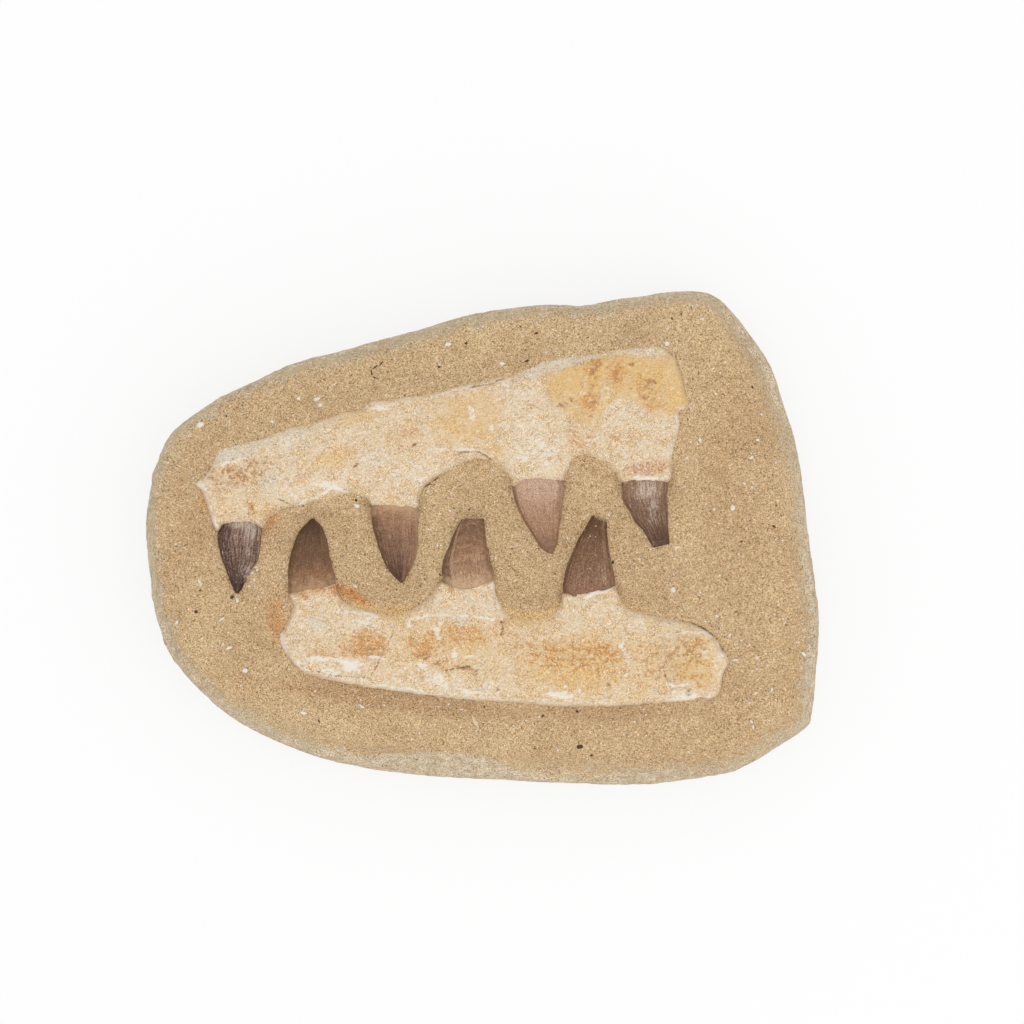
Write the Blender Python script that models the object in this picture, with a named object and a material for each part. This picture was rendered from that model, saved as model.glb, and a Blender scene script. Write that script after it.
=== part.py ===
"""Fossil mosasaur jaw in its block of rock matrix, at life size.

A slab of sandy phosphate rock carries an upper and a lower jaw section in relief.  Four teeth of
the upper jaw point down and three of the lower jaw point up between them.  Lengths are in
millimetres here and become metres when a mesh is made.  +X runs along the jaws, +Y is towards the
upper jaw, +Z is up, and the slab lies on its flat base at z = 0.
"""
import bisect
import math

import bmesh
import bpy
from mathutils import Vector

MM = 0.001
GAP = 0.3                   # clear space between a bone and the rock that it is bedded in

# Heights
ROCK_TOP = 42.0             # the rock's carved top, in the middle
ROCK_EDGE_FALL = 3.0        # how much lower that top is at its shoulder
ROCK_EDGE_REACH = 16.0      # how far in from the shoulder the fall reaches
TROUGH_DEPTH = 1.0          # the hollow carved round the teeth
TROUGH_HALF_WIDTH = 19.0
TROUGH_ENDS = (-118.0, 96.0)
TROUGH_END_REACH = 22.0
BONE_FLOOR = 35.0           # underside of the bones, inside the rock
BONE_EDGE_TOP = 46.2        # a bone's upper face, just inside its bevelled edge
BONE_CROWN = 2.0            # how much the middle of a bone stands above that
BONE_CROWN_REACH = 9.0
TOOTH_FLOOR = 36.0          # underside of the teeth, inside the rock
TOOTH_AXIS = 41.0           # height of a tooth's widest line

# The slab's sides: corners are shared, points are (x, y, width of the sloping shoulder)
SLAB_TOP = ((-121.7, 40.2, 3.5), (-111.9, 49.2, 3.5), (-99.0, 57.0, 3.5), (-73.5, 68.4, 4.0),
            (-53.9, 73.9, 4.5), (-20.6, 82.9, 5.0), (-3.0, 87.9, 5.0), (24.5, 91.5, 4.0),
            (42.1, 91.1, 4.0), (61.7, 94.7, 5.0))
SLAB_RIGHT = ((85.3, 96.6, 6.0), (97.0, 89.6, 7.5), (110.7, 71.5, 9.5), (117.8, 53.9, 11.0),
              (124.1, 31.6, 11.5), (127.2, 6.9, 10.5), (130.3, -18.6, 8.0), (131.9, -40.2, 6.0))
SLAB_BOTTOM = ((129.4, -68.4, 10.0), (126.4, -75.0, 10.5), (114.0, -83.6, 12.5), (102.3, -90.4, 13.0),
               (91.1, -93.6, 13.5), (61.7, -97.0, 14.0), (14.7, -95.7, 14.5), (-28.8, -92.9, 14.0),
               (-64.4, -86.3, 13.0), (-95.2, -72.9, 10.0))
SLAB_LEFT = ((-116.4, -54.2, 8.0), (-127.0, -34.6, 5.5), (-130.9, -10.8, 4.5), (-131.9, 8.8, 4.5),
             (-128.2, 27.1, 4.0))
SLAB_CELLS = (40, 28)       # quads along and across the slab's top

# The slab's rings from the base up: (height, inset from the outline, share of the shoulder width)
SLAB_RINGS = ((0.0, 5.2, 0.0), (2.5, 3.6, 0.0), (9.0, 1.3, 0.0), (17.0, 0.0, 0.0), (23.0, 0.3, 0.1),
              (29.0, 0.5, 0.3), (34.0, 0.5, 0.56), (37.5, 0.4, 0.8))
SLAB_WIDEST = 17.0          # height of the outline
SLAB_CALM = 8.0             # the sides are rough from this far above or below it
SLAB_WAVES = ((5, 0.8, 0.4), (11, 0.7, 2.1), (19, 0.5, 4.4), (29, 0.35, 1.3))  # lobes, depth, phase
WAVE_SHEAR = 7.0            # millimetres of height over which a wave moves on by one radian

# Scoops broken out of the sides: share of the way round, height, half sizes of both, depth
SLAB_SCOOPS = ((0.05, 31.0, 0.030, 9.0, 2.4), (0.14, 6.0, 0.045, 8.0, 2.6), (0.22, 32.0, 0.026, 8.0, 2.0),
               (0.33, 29.0, 0.030, 9.0, 2.8), (0.41, 6.0, 0.040, 8.0, 2.4), (0.47, 31.0, 0.022, 8.0, 2.2),
               (0.55, 5.0, 0.030, 7.0, 3.0), (0.61, 30.0, 0.034, 8.0, 2.8), (0.70, 32.0, 0.028, 7.0, 2.2),
               (0.76, 6.0, 0.035, 7.0, 2.4), (0.84, 30.0, 0.026, 9.0, 2.6), (0.93, 7.0, 0.040, 8.0, 2.4))

# The upper jaw's bone, as four sides between its corners
UPPER_TOP = ((-105.5, 25.0), (-99.7, 34.6), (-85.5, 37.9), (-65.4, 44.6), (-50.8, 48.5), (-35.0, 53.5),
             (-11.5, 58.1), (-0.8, 61.0), (13.1, 63.1), (22.7, 67.7), (42.4, 71.2), (61.6, 73.9))
UPPER_RIGHT = ((72.4, 72.0), (75.9, 63.9), (79.3, 50.4), (75.9, 40.8), (73.5, 33.1))
UPPER_BOTTOM = ((72.4, 21.9), (62.8, 22.3), (53.5, 21.2), (49.3, 26.2), (42.4, 30.8), (34.7, 29.6),
                (31.2, 23.1), (22.3, 22.3), (11.6, 20.0), (7.3, 25.8), (-0.8, 29.8), (-9.6, 28.5),
                (-20.0, 21.9), (-24.2, 12.3), (-33.5, 12.7), (-42.7, 11.9), (-47.0, 16.5), (-53.9, 16.7),
                (-62.4, 14.2), (-73.1, 12.3), (-80.8, 9.2), (-85.1, 4.2), (-93.9, 5.4))
UPPER_LEFT = ((-101.6, 2.3), (-105.5, 10.0), (-107.4, 18.9))

# The lower jaw's bone
LOWER_TOP = ((-73.9, -21.6), (-66.2, -20.0), (-57.0, -17.7), (-54.3, -23.1), (-48.1, -26.2),
             (-36.6, -28.1), (-27.7, -26.8), (-20.0, -21.4), (-15.0, -17.0), (-5.4, -18.9), (4.6, -17.0),
             (5.8, -22.3), (9.6, -28.1), (17.3, -30.6), (25.4, -29.5), (30.0, -25.0), (31.6, -21.2),
             (41.6, -20.8), (51.2, -18.5), (53.5, -23.1), (58.9, -27.7), (71.6, -31.4))
LOWER_RIGHT = ((82.8, -33.9), (90.5, -40.2), (95.1, -47.8), (92.0, -56.6))
LOWER_BOTTOM = ((89.7, -62.0), (80.1, -62.8), (61.6, -64.1), (41.6, -64.7), (19.3, -63.8), (-4.2, -63.0),
                (-34.6, -58.9), (-58.1, -55.1))
LOWER_LEFT = ((-68.9, -51.6), (-74.7, -45.4), (-77.8, -37.7), (-73.9, -29.3))

BONE_CELLS = (64, 10)       # quads along and across a bone's upper face
BONE_RINGS = ((0.0, 0.5), (0.62, 0.0), (0.86, 0.6))   # share of the edge's height, inset
BONE_BEVEL = 2.2            # inset of the upper face from the bone's outline
BONE_EASING = 3             # rounds of smoothing on that inset line

# Plates of the bones' surface that lie a little higher: centre, half size, tilt in degrees, rise
UPPER_PLATES = (((53.0, 54.0), (27.0, 11.0), 9.0, 0.9), ((-6.0, 45.0), (14.0, 8.5), 10.0, 0.7),
                ((-60.0, 31.0), (26.0, 8.0), 14.0, 0.5), ((-92.0, 18.0), (9.0, 8.0), 0.0, 0.4))
LOWER_PLATES = (((22.0, -48.0), (24.0, 9.0), -3.0, 0.8), ((-36.0, -42.0), (20.0, 8.0), -9.0, 0.6),
                ((73.0, -48.0), (15.0, 9.0), -10.0, 0.7))
PLATE_EDGE = 0.16           # share of a plate's half size over which it rises

# Teeth: base left and right, tip left and right, then how far the left and right edges bow out,
# and the crown's height above its widest line at the base
UPPER_TEETH = (((-101.7, 1.9), (-84.7, 3.8), (-95.4, -21.2), (-92.4, -20.2), 1.5, 2.0, 5.2),
               ((-42.8, 11.2), (-24.3, 10.8), (-32.2, -16.6), (-29.8, -16.0), 1.6, 2.3, 5.8),
               ((11.6, 19.6), (31.7, 20.8), (25.0, -5.4), (28.2, -4.4), 2.6, 1.6, 5.8),
               ((53.5, 21.2), (71.7, 21.9), (66.1, -3.9), (72.4, -2.4), 1.8, 0.0, 5.6))
LOWER_TEETH = (((-74.5, -19.6), (-56.5, -16.6), (-66.2, 6.6), (-62.8, 6.2), 2.9, 2.6, 5.4),
               ((-15.3, -15.4), (4.7, -15.0), (-7.6, 7.1), (0.7, 7.2), 1.0, 0.6, 5.8),
               ((31.2, -20.0), (51.2, -18.2), (42.4, 8.2), (48.1, 6.0), 1.6, -0.3, 5.8))
TOOTH_STATIONS = (0.0, 0.14, 0.3, 0.46, 0.62, 0.78, 0.9, 1.0)
TOOTH_TAPER = 0.85          # power by which a crown's height follows its width
TOOTH_TIP_HEIGHT = 0.9      # least height of a crown above its widest line
TOOTH_ARC = 8               # facets over a crown's rounded side
ROOT_DEPTH = 7.0            # how far a tooth's root runs into its bone
ROOT_NARROWING = 1.6        # how much each side of the root draws in

COLOURS = {"matrix_block": (0.55, 0.39, 0.21, 1.0), "upper_jaw": (0.72, 0.53, 0.32, 1.0),
           "lower_jaw": (0.70, 0.52, 0.32, 1.0)}
ROUGHNESS = {"matrix_block": 0.95, "upper_jaw": 0.7, "lower_jaw": 0.7}


def catmull_rom(p0, p1, p2, p3, t):
    """A point on the smooth curve from p1 to p2."""
    return tuple(0.5 * (2 * b + (c - a) * t + (2 * a - 5 * b + 4 * c - d) * t * t
                        + (3 * b - a - 3 * c + d) * t ** 3)
                 for a, b, c, d in zip(p0, p1, p2, p3))


def even_side(loop, first, last, cells):
    """Evenly spaced points along the closed curve through loop, from corner first to corner last."""
    fine = []
    steps = 12
    for index in range(first, last):
        corners = [loop[(index + k) % len(loop)] for k in (-1, 0, 1, 2)]
        fine += [catmull_rom(*corners, step / steps) for step in range(steps)]
    fine.append(loop[last % len(loop)])
    lengths = [0.0]
    for a, b in zip(fine, fine[1:]):
        lengths.append(lengths[-1] + math.dist(a[:2], b[:2]))
    side = []
    for cell in range(cells):
        wanted = lengths[-1] * cell / cells
        at = min(bisect.bisect_right(lengths, wanted), len(fine) - 1)
        share = (wanted - lengths[at - 1]) / (lengths[at] - lengths[at - 1])
        side.append(tuple(a + (b - a) * share for a, b in zip(fine[at - 1], fine[at])))
    return side


def rim_loop(sides, cells):
    """The rim as one closed clockwise loop: along the top, down the right, back and up the left."""
    loop = [point for side in sides for point in side]
    rim = []
    first = 0
    for side, count in zip(sides, (cells[0], cells[1], cells[0], cells[1])):
        last = first + len(side)
        rim += even_side(loop, first, last, count)
        first = last
    return rim


def inward(rim):
    """Unit directions pointing in from each point of a clockwise rim."""
    directions = []
    for index, _ in enumerate(rim):
        before = rim[index - 1]
        after = rim[(index + 1) % len(rim)]
        along = Vector((after[0] - before[0], after[1] - before[1])).normalized()
        directions.append(Vector((along.y, -along.x)))
    return directions


def inset(rim, widths, easing=0):
    """The rim moved in by a width at each point, then eased, so that no tight corner crosses itself."""
    moved = [(point[0] + way.x * width, point[1] + way.y * width)
             for point, way, width in zip(rim, inward(rim), widths)]
    for _ in range(easing):
        after = moved[1:] + moved[:1]
        before = moved[-1:] + moved[:-1]
        moved = [tuple((a + 2 * b + c) / 4 for a, b, c in zip(*three)) for three in zip(before, moved, after)]
    return moved


def coons_patch(rim, cells):
    """A grid of points filling the rim, as rows from the top side to the bottom side."""
    across, down = cells
    top = rim[:across + 1]
    right = rim[across:across + down + 1]
    bottom = rim[across + down:2 * across + down + 1][::-1]
    left = (rim[2 * across + down:] + rim[:1])[::-1]
    rows = []
    for j in range(down + 1):
        v = j / down
        row = []
        for i in range(across + 1):
            u = i / across
            row.append(tuple(
                (1 - v) * top[i][k] + v * bottom[i][k] + (1 - u) * left[j][k] + u * right[j][k]
                - (1 - u) * (1 - v) * top[0][k] - u * (1 - v) * top[-1][k]
                - (1 - u) * v * bottom[0][k] - u * v * bottom[-1][k] for k in (0, 1)))
        rows.append(row)
    return rows


def relief_solid(rings, face_rim, cells, height):
    """A closed body: rings of (x, y, z) points from the underside up, then a carved upper face."""
    body = bmesh.new()
    rings = rings + [[(x, y, height(x, y)) for x, y in face_rim]]
    made = [[body.verts.new(Vector(point) * MM) for point in ring] for ring in rings]
    for low, high in zip(made, made[1:]):
        for index in range(len(low)):
            following = (index + 1) % len(low)
            body.faces.new((low[index], high[index], high[following], low[following]))
    body.faces.new(made[0])
    across, down = cells
    edge = made[-1]
    grid = []
    for j, row in enumerate(coons_patch(face_rim, cells)):
        verts = []
        for i, (x, y) in enumerate(row):
            if j == 0:
                verts.append(edge[i])
            elif i == across:
                verts.append(edge[across + j])
            elif j == down:
                verts.append(edge[2 * across + down - i])
            elif i == 0:
                verts.append(edge[-j])
            else:
                verts.append(body.verts.new(Vector((x, y, height(x, y))) * MM))
        grid.append(verts)
    for upper, lower in zip(grid, grid[1:]):
        for i in range(across):
            body.faces.new((upper[i], lower[i], lower[i + 1], upper[i + 1]))
    bmesh.ops.recalc_face_normals(body, faces=body.faces)
    return body


def distance_to(rim, x, y):
    """How far a point is from the nearest stretch of the rim."""
    best = math.inf
    for index, a in enumerate(rim):
        b = rim[(index + 1) % len(rim)]
        run = (b[0] - a[0], b[1] - a[1])
        share = ((x - a[0]) * run[0] + (y - a[1]) * run[1]) / (run[0] ** 2 + run[1] ** 2)
        share = min(max(share, 0.0), 1.0)
        best = min(best, math.hypot(x - a[0] - share * run[0], y - a[1] - share * run[1]))
    return best


def smooth_step(low, high, value):
    share = min(max((value - low) / (high - low), 0.0), 1.0)
    return share * share * (3 - 2 * share)


def trough(x, y):
    """Depth of the hollow carved between the jaws, which fades out at both ends."""
    left, right = TROUGH_ENDS
    along = smooth_step(left, left + TROUGH_END_REACH, x) * (1 - smooth_step(right - TROUGH_END_REACH, right, x))
    across = math.exp(-(y / TROUGH_HALF_WIDTH) ** 4)
    return TROUGH_DEPTH * along * across


def rock_height(shoulder):
    """The rock's upper face: a low dome that falls at its shoulder, with the trough and soft waves."""
    def height(x, y):
        edge = ROCK_EDGE_FALL * math.exp(-distance_to(shoulder, x, y) / ROCK_EDGE_REACH * 2)
        waves = 0.35 * math.sin(x / 17 + 1) * math.sin(y / 13 + 2) + 0.2 * math.sin(x / 7 + y / 9)
        return ROCK_TOP - edge - trough(x, y) + waves
    return height


def plate_rise(plates, x, y):
    """How much the surface plates lift the bone at a point."""
    rise = 0.0
    for centre, half, tilt, lift in plates:
        turn = math.radians(tilt)
        dx = x - centre[0]
        dy = y - centre[1]
        along = (dx * math.cos(turn) + dy * math.sin(turn)) / half[0]
        across = (dy * math.cos(turn) - dx * math.sin(turn)) / half[1]
        reach = (along ** 4 + across ** 4) ** 0.25
        rise += lift * (1 - smooth_step(1 - PLATE_EDGE, 1 + PLATE_EDGE, reach))
    return rise


def bone_height(rim, plates):
    """A bone's upper face: crowned away from its edge, with raised plates and a fine ripple."""
    def height(x, y):
        crown = BONE_CROWN * (1 - math.exp(-distance_to(rim, x, y) / BONE_CROWN_REACH))
        ripple = 0.2 * math.sin(x / 5 + y / 3) * math.sin(x / 11 - y / 4)
        return BONE_EDGE_TOP + crown + plate_rise(plates, x, y) + ripple
    return height


def side_roughness(share, height):
    """How far the slab's side is worn in at a share of the way round, away from its widest line."""
    wear = 0.0
    for lobes, depth, phase in SLAB_WAVES:
        wear += depth * math.sin(2 * math.pi * lobes * share + phase + height / WAVE_SHEAR)
    for centre, level, half_share, half_height, depth in SLAB_SCOOPS:
        reach = math.hypot((share - centre) / half_share, (height - level) / half_height)
        wear += depth * (1 - smooth_step(0.3, 1.0, reach))
    return wear * smooth_step(0.0, SLAB_CALM, abs(height - SLAB_WIDEST))


def slab_body():
    """The rock, before the bones' beds are cut in it."""
    rim = rim_loop((SLAB_TOP, SLAB_RIGHT, SLAB_BOTTOM, SLAB_LEFT), SLAB_CELLS)
    shoulders = [point[2] for point in rim]
    rings = []
    for height, tuck, share in SLAB_RINGS:
        wear = [side_roughness(index / len(rim), height) for index in range(len(rim))]
        widths = [max(tuck + share * shoulder + worn, 0.0) for shoulder, worn in zip(shoulders, wear)]
        rings.append([(x, y, height) for x, y in inset(rim, widths, 1)])
    face_rim = inset(rim, shoulders, 1)
    return relief_solid(rings, face_rim, SLAB_CELLS, rock_height(face_rim))


def bone_body(sides, plates):
    """A bone section: a wall bedded in the rock, a bevelled edge and the carved upper face."""
    rim = rim_loop(sides, BONE_CELLS)
    face_rim = inset(rim, [BONE_BEVEL] * len(rim), BONE_EASING)
    rings = []
    for share, tuck in BONE_RINGS:
        height = BONE_FLOOR + (BONE_EDGE_TOP - BONE_FLOOR) * share
        rings.append([(x, y, height) for x, y in inset(rim, [tuck] * len(rim))])
    return relief_solid(rings, face_rim, BONE_CELLS, bone_height(rim, plates))


def bowed_edge(base, tip, bow, share):
    """A point on a tooth's edge, which bows out from the straight line between base and tip."""
    start = Vector(base)
    run = Vector(tip) - start
    out = Vector((run.y, -run.x)).normalized()
    return start + run * share + out * bow * 4 * share * (1 - share)


def tooth_edges(tooth):
    """Left and right edge points of a tooth from its root to its tip."""
    base_left, base_right, tip_left, tip_right, bow_left, bow_right, _ = tooth
    side = 1 if tip_left[1] < base_left[1] else -1
    left = [bowed_edge(base_left, tip_left, side * bow_left, share) for share in TOOTH_STATIONS]
    right = [bowed_edge(base_right, tip_right, -side * bow_right, share) for share in TOOTH_STATIONS]
    back = ((left[0] + right[0]) - (left[-1] + right[-1])).normalized() * ROOT_DEPTH
    across = (right[0] - left[0]).normalized() * ROOT_NARROWING
    return [left[0] + back + across] + left, [right[0] + back - across] + right


def tooth_body(tooth):
    """One tooth: a tapering half-round crown over straight walls bedded in the rock."""
    left, right = tooth_edges(tooth)
    base_width = (right[1] - left[1]).length
    body = bmesh.new()
    sections = []
    for a, b in zip(left, right):
        middle = (a + b) / 2
        half = (b - a) / 2
        share = min(half.length * 2 / base_width, 1.0) ** TOOTH_TAPER
        crown = TOOTH_TIP_HEIGHT + (tooth[6] - TOOTH_TIP_HEIGHT) * share
        section = [(a.x, a.y, TOOTH_FLOOR)]
        for step in range(TOOTH_ARC + 1):
            turn = math.pi * step / TOOTH_ARC
            place = middle - half * math.cos(turn)
            section.append((place.x, place.y, TOOTH_AXIS + crown * math.sin(turn)))
        section.append((b.x, b.y, TOOTH_FLOOR))
        sections.append([body.verts.new(Vector(point) * MM) for point in section])
    for near, far in zip(sections, sections[1:]):
        for index in range(len(near)):
            following = (index + 1) % len(near)
            body.faces.new((near[index], far[index], far[following], near[following]))
    body.faces.new(sections[0])
    body.faces.new(sections[-1])
    bmesh.ops.recalc_face_normals(body, faces=body.faces)
    return body


def bed_cutter(rim, floor):
    """A prism a little wider than the outline, which cuts a bed in the rock."""
    body = bmesh.new()
    wide = inset(rim, [-GAP] * len(rim))
    low = [body.verts.new(Vector((x, y, floor - GAP)) * MM) for x, y in wide]
    high = [body.verts.new(Vector((x, y, ROCK_TOP * 1.5)) * MM) for x, y in wide]
    for index in range(len(wide)):
        following = (index + 1) % len(wide)
        body.faces.new((low[index], low[following], high[following], high[index]))
    body.faces.new(low)
    body.faces.new(high)
    bmesh.ops.recalc_face_normals(body, faces=body.faces)
    return body


def tooth_rim(tooth):
    """A tooth's outline seen from above, as a clockwise loop."""
    left, right = tooth_edges(tooth)
    loop = [tuple(point) for point in left + right[::-1]]
    turning = sum(a[0] * b[1] - b[0] * a[1] for a, b in zip(loop, loop[1:] + loop[:1]))
    return loop if turning < 0 else loop[::-1]


def new_object(name, body):
    mesh = bpy.data.meshes.new(name)
    body.to_mesh(mesh)
    body.free()
    made = bpy.data.objects.new(name, mesh)
    bpy.context.scene.collection.objects.link(made)
    return made


def gather(name, bodies):
    """A collection of closed objects, one for each body."""
    group = bpy.data.collections.new(name)
    for index, body in enumerate(bodies):
        piece = new_object(f"{name}_{index}", body)
        bpy.context.scene.collection.objects.unlink(piece)
        group.objects.link(piece)
    bpy.context.scene.collection.children.link(group)
    return group


def combine(target, group, operation):
    """Fuses a collection into the target, or cuts it out, and then removes the collection."""
    change = target.modifiers.new(operation.lower(), "BOOLEAN")
    change.operation = operation
    change.solver = "EXACT"
    change.operand_type = "COLLECTION"
    change.collection = group
    result = bpy.data.meshes.new_from_object(target.evaluated_get(bpy.context.evaluated_depsgraph_get()))
    target.modifiers.clear()
    target.data = result
    for piece in list(group.objects):
        bpy.data.objects.remove(piece)
    bpy.data.collections.remove(group)


def keep_largest(target):
    """Drops every closed surface of an object but its largest."""
    body = bmesh.new()
    body.from_mesh(target.data)
    left = set(body.faces)
    shells = []
    while left:
        shell = {left.pop()}
        front = list(shell)
        while front:
            face = front.pop()
            for edge in face.edges:
                for other in edge.link_faces:
                    if other in left:
                        left.remove(other)
                        shell.add(other)
                        front.append(other)
        shells.append(shell)
    shells.sort(key=lambda faces: sum(face.calc_area() for face in faces))
    loose = [face for shell in shells[:-1] for face in shell]
    bmesh.ops.delete(body, geom=loose, context="FACES")
    body.to_mesh(target.data)
    body.free()


def finish(target, place):
    """Puts an object's origin at its place, gives it its material and smooth shading."""
    name = target.name
    for vertex in target.data.vertices:
        vertex.co -= place
    target.location = place
    material = bpy.data.materials.new(name)
    material.use_nodes = True
    shader = material.node_tree.nodes["Principled BSDF"]
    shader.inputs["Base Color"].default_value = COLOURS[name]
    shader.inputs["Roughness"].default_value = ROUGHNESS[name]
    shader.inputs["Metallic"].default_value = 0.0
    target.data.materials.clear()
    target.data.materials.append(material)
    target.data.shade_smooth()
    target.data.set_sharp_from_angle(angle=math.radians(35))


def middle_of(objects):
    """The middle of the objects' common box, at base level."""
    corners = [vertex.co for item in objects for vertex in item.data.vertices]
    xs = [corner.x for corner in corners]
    ys = [corner.y for corner in corners]
    return Vector(((min(xs) + max(xs)) / 2, (min(ys) + max(ys)) / 2, 0.0))


def jaw_node(name, sides, plates, teeth):
    jaw = new_object(name, bone_body(sides, plates))
    combine(jaw, gather(name + "_teeth", [tooth_body(tooth) for tooth in teeth]), "UNION")
    keep_largest(jaw)
    return jaw


def jaw_beds(sides, teeth):
    beds = [bed_cutter(rim_loop(sides, BONE_CELLS), BONE_FLOOR)]
    beds += [bed_cutter(tooth_rim(tooth), TOOTH_FLOOR) for tooth in teeth]
    return beds


def main():
    for old in list(bpy.data.objects):
        bpy.data.objects.remove(old)
    upper_sides = (UPPER_TOP, UPPER_RIGHT, UPPER_BOTTOM, UPPER_LEFT)
    lower_sides = (LOWER_TOP, LOWER_RIGHT, LOWER_BOTTOM, LOWER_LEFT)
    slab = new_object("matrix_block", slab_body())
    beds = jaw_beds(upper_sides, UPPER_TEETH) + jaw_beds(lower_sides, LOWER_TEETH)
    combine(slab, gather("beds", beds), "DIFFERENCE")
    keep_largest(slab)
    upper = jaw_node("upper_jaw", upper_sides, UPPER_PLATES, UPPER_TEETH)
    lower = jaw_node("lower_jaw", lower_sides, LOWER_PLATES, LOWER_TEETH)
    specimen = bpy.data.objects.new("specimen", None)
    bpy.context.scene.collection.objects.link(specimen)
    specimen.location = -middle_of((slab, upper, lower))
    for target, height in ((slab, 0.0), (upper, BONE_FLOOR), (lower, BONE_FLOOR)):
        place = middle_of((target,))
        place.z = height * MM
        finish(target, place)
        target.parent = specimen


main()
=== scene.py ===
"""Looks of the fossil mosasaur jaw in its block of rock matrix.

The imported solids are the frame.  Each is dressed with a finer mesh of the same outline: the slab with
its grain and worn sides, two bones with plates, flakes and cracks, and seven teeth.  Lengths are in
millimetres until a mesh is made.  +X runs along the jaws, +Y is towards the upper jaw, +Z is up.
"""
import math

import bpy
import numpy as np
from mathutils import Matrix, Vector
from mathutils.bvhtree import BVHTree
from mathutils.geometry import delaunay_2d_cdt


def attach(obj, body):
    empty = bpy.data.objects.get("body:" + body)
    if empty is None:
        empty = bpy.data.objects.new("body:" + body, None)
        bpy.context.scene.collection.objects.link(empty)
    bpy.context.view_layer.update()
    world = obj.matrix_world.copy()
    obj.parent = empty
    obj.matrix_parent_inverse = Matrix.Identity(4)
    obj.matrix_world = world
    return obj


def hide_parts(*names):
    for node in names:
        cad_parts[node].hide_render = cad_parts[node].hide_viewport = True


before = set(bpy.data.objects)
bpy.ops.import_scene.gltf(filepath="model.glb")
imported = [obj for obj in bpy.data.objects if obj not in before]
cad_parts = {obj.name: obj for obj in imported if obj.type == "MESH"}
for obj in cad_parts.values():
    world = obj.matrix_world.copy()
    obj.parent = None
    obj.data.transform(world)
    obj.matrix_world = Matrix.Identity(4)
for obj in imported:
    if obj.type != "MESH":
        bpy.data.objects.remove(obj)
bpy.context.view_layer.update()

MM = 0.001
CURVE_STEPS = 12            # points on a smooth curve for each given one

# The photograph's frame: what a pixel of it is worth on the relief, and where its middle lies
PHOTO_MIDDLE = 512
VIEW_MIDDLE = (11.56, 10.0)
PIXEL = 0.385
CAMERA_HEIGHT = 1545.0
PIXEL_DISTANCE = 1500.0     # the distance from the camera at which a pixel is worth PIXEL
SENSOR = 36.0

# Heights, as in the solids
ROCK_TOP = 42.0
ROCK_EDGE_FALL = 3.0
ROCK_EDGE_REACH = 16.0
TROUGH_DEPTH = 1.0
TROUGH_HALF_WIDTH = 19.0
TROUGH_ENDS = (-118.0, 96.0)
TROUGH_END_REACH = 22.0
BONE_FLOOR = 35.0
BONE_EDGE_TOP = 46.2
BONE_CROWN = 2.0
BONE_CROWN_REACH = 9.0
TOOTH_AXIS = 41.0

# The slab's sides between its corners: x, y and the width of the sloping shoulder
SLAB_TOP = (
    (-121.7, 40.2, 3.5), (-111.9, 49.2, 3.5), (-99.0, 57.0, 3.5), (-73.5, 68.4, 4.0), (-53.9, 73.9, 4.5),
    (-20.6, 82.9, 5.0), (-3.0, 87.9, 5.0), (24.5, 91.5, 4.0), (42.1, 91.1, 4.0), (61.7, 94.7, 5.0))
SLAB_RIGHT = ((85.3, 96.6, 6.0), (97.0, 89.6, 7.5), (110.7, 71.5, 9.5), (117.8, 53.9, 11.0),
              (124.1, 31.6, 11.5), (127.2, 6.9, 10.5), (130.3, -18.6, 8.0), (131.9, -40.2, 6.0))
SLAB_BOTTOM = (
    (129.4, -68.4, 10.0), (126.4, -75.0, 10.5), (114.0, -83.6, 12.5), (102.3, -90.4, 13.0),
    (91.1, -93.6, 13.5), (61.7, -97.0, 14.0), (14.7, -95.7, 14.5), (-28.8, -92.9, 14.0),
    (-64.4, -86.3, 13.0), (-95.2, -72.9, 10.0))
SLAB_LEFT = ((-116.4, -54.2, 8.0), (-127.0, -34.6, 5.5), (-130.9, -10.8, 4.5), (-131.9, 8.8, 4.5),
             (-128.2, 27.1, 4.0))
# Levels up the slab's side: height, how far in from its outline, and how much of the shoulder's width
# comes on top of that, as a share
SLAB_RINGS = ((0.0, 5.2, 0.0), (2.5, 3.6, 0.0), (9.0, 1.3, 0.0), (17.0, 0.0, 0.0), (23.0, 0.3, 0.1),
              (29.0, 0.5, 0.3), (34.0, 0.5, 0.56), (37.5, 0.4, 0.8))
SLAB_WIDEST = 17.0          # height of the slab's outline, which is smoother
SLAB_CALM = 8.0             # how far up and down from there it stays so
WIDEST_LUMPS = 0.45         # share of its lumps that is left there
LUMP_LEVEL = 0.45           # noise at which lumps stand level with the solid, and the most that they rise
LUMP_MOST = 0.1
BASE_CALM = 2.0             # height over which the lumps set in above the flat base
# Waves round the side: how many, depth and phase
SLAB_WAVES = ((5, 0.8, 0.4), (11, 0.7, 2.1), (19, 0.5, 4.4), (29, 0.35, 1.3))
WAVE_SHEAR = 7.0            # rise in mm over which a wave moves on by a radian
# Hollows in the side: place round the rim as a share, height, half sizes of both, depth
SLAB_SCOOPS = (
    (0.05, 31.0, 0.030, 9.0, 2.4), (0.14, 6.0, 0.045, 8.0, 2.6), (0.22, 32.0, 0.026, 8.0, 2.0),
    (0.33, 29.0, 0.030, 9.0, 2.8), (0.41, 6.0, 0.040, 8.0, 2.4), (0.47, 31.0, 0.022, 8.0, 2.2),
    (0.55, 5.0, 0.030, 7.0, 3.0), (0.61, 30.0, 0.034, 8.0, 2.8), (0.70, 32.0, 0.028, 7.0, 2.2),
    (0.76, 6.0, 0.035, 7.0, 2.4), (0.84, 30.0, 0.026, 9.0, 2.6), (0.93, 7.0, 0.040, 8.0, 2.4))
SLAB_CELLS = (280, 196)     # quads along and across the slab's top
SLAB_STEP = 7               # points of this rim to one of the solid's
SLAB_LEVELS = 38            # rings of the sides up to the last height in SLAB_RINGS
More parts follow.
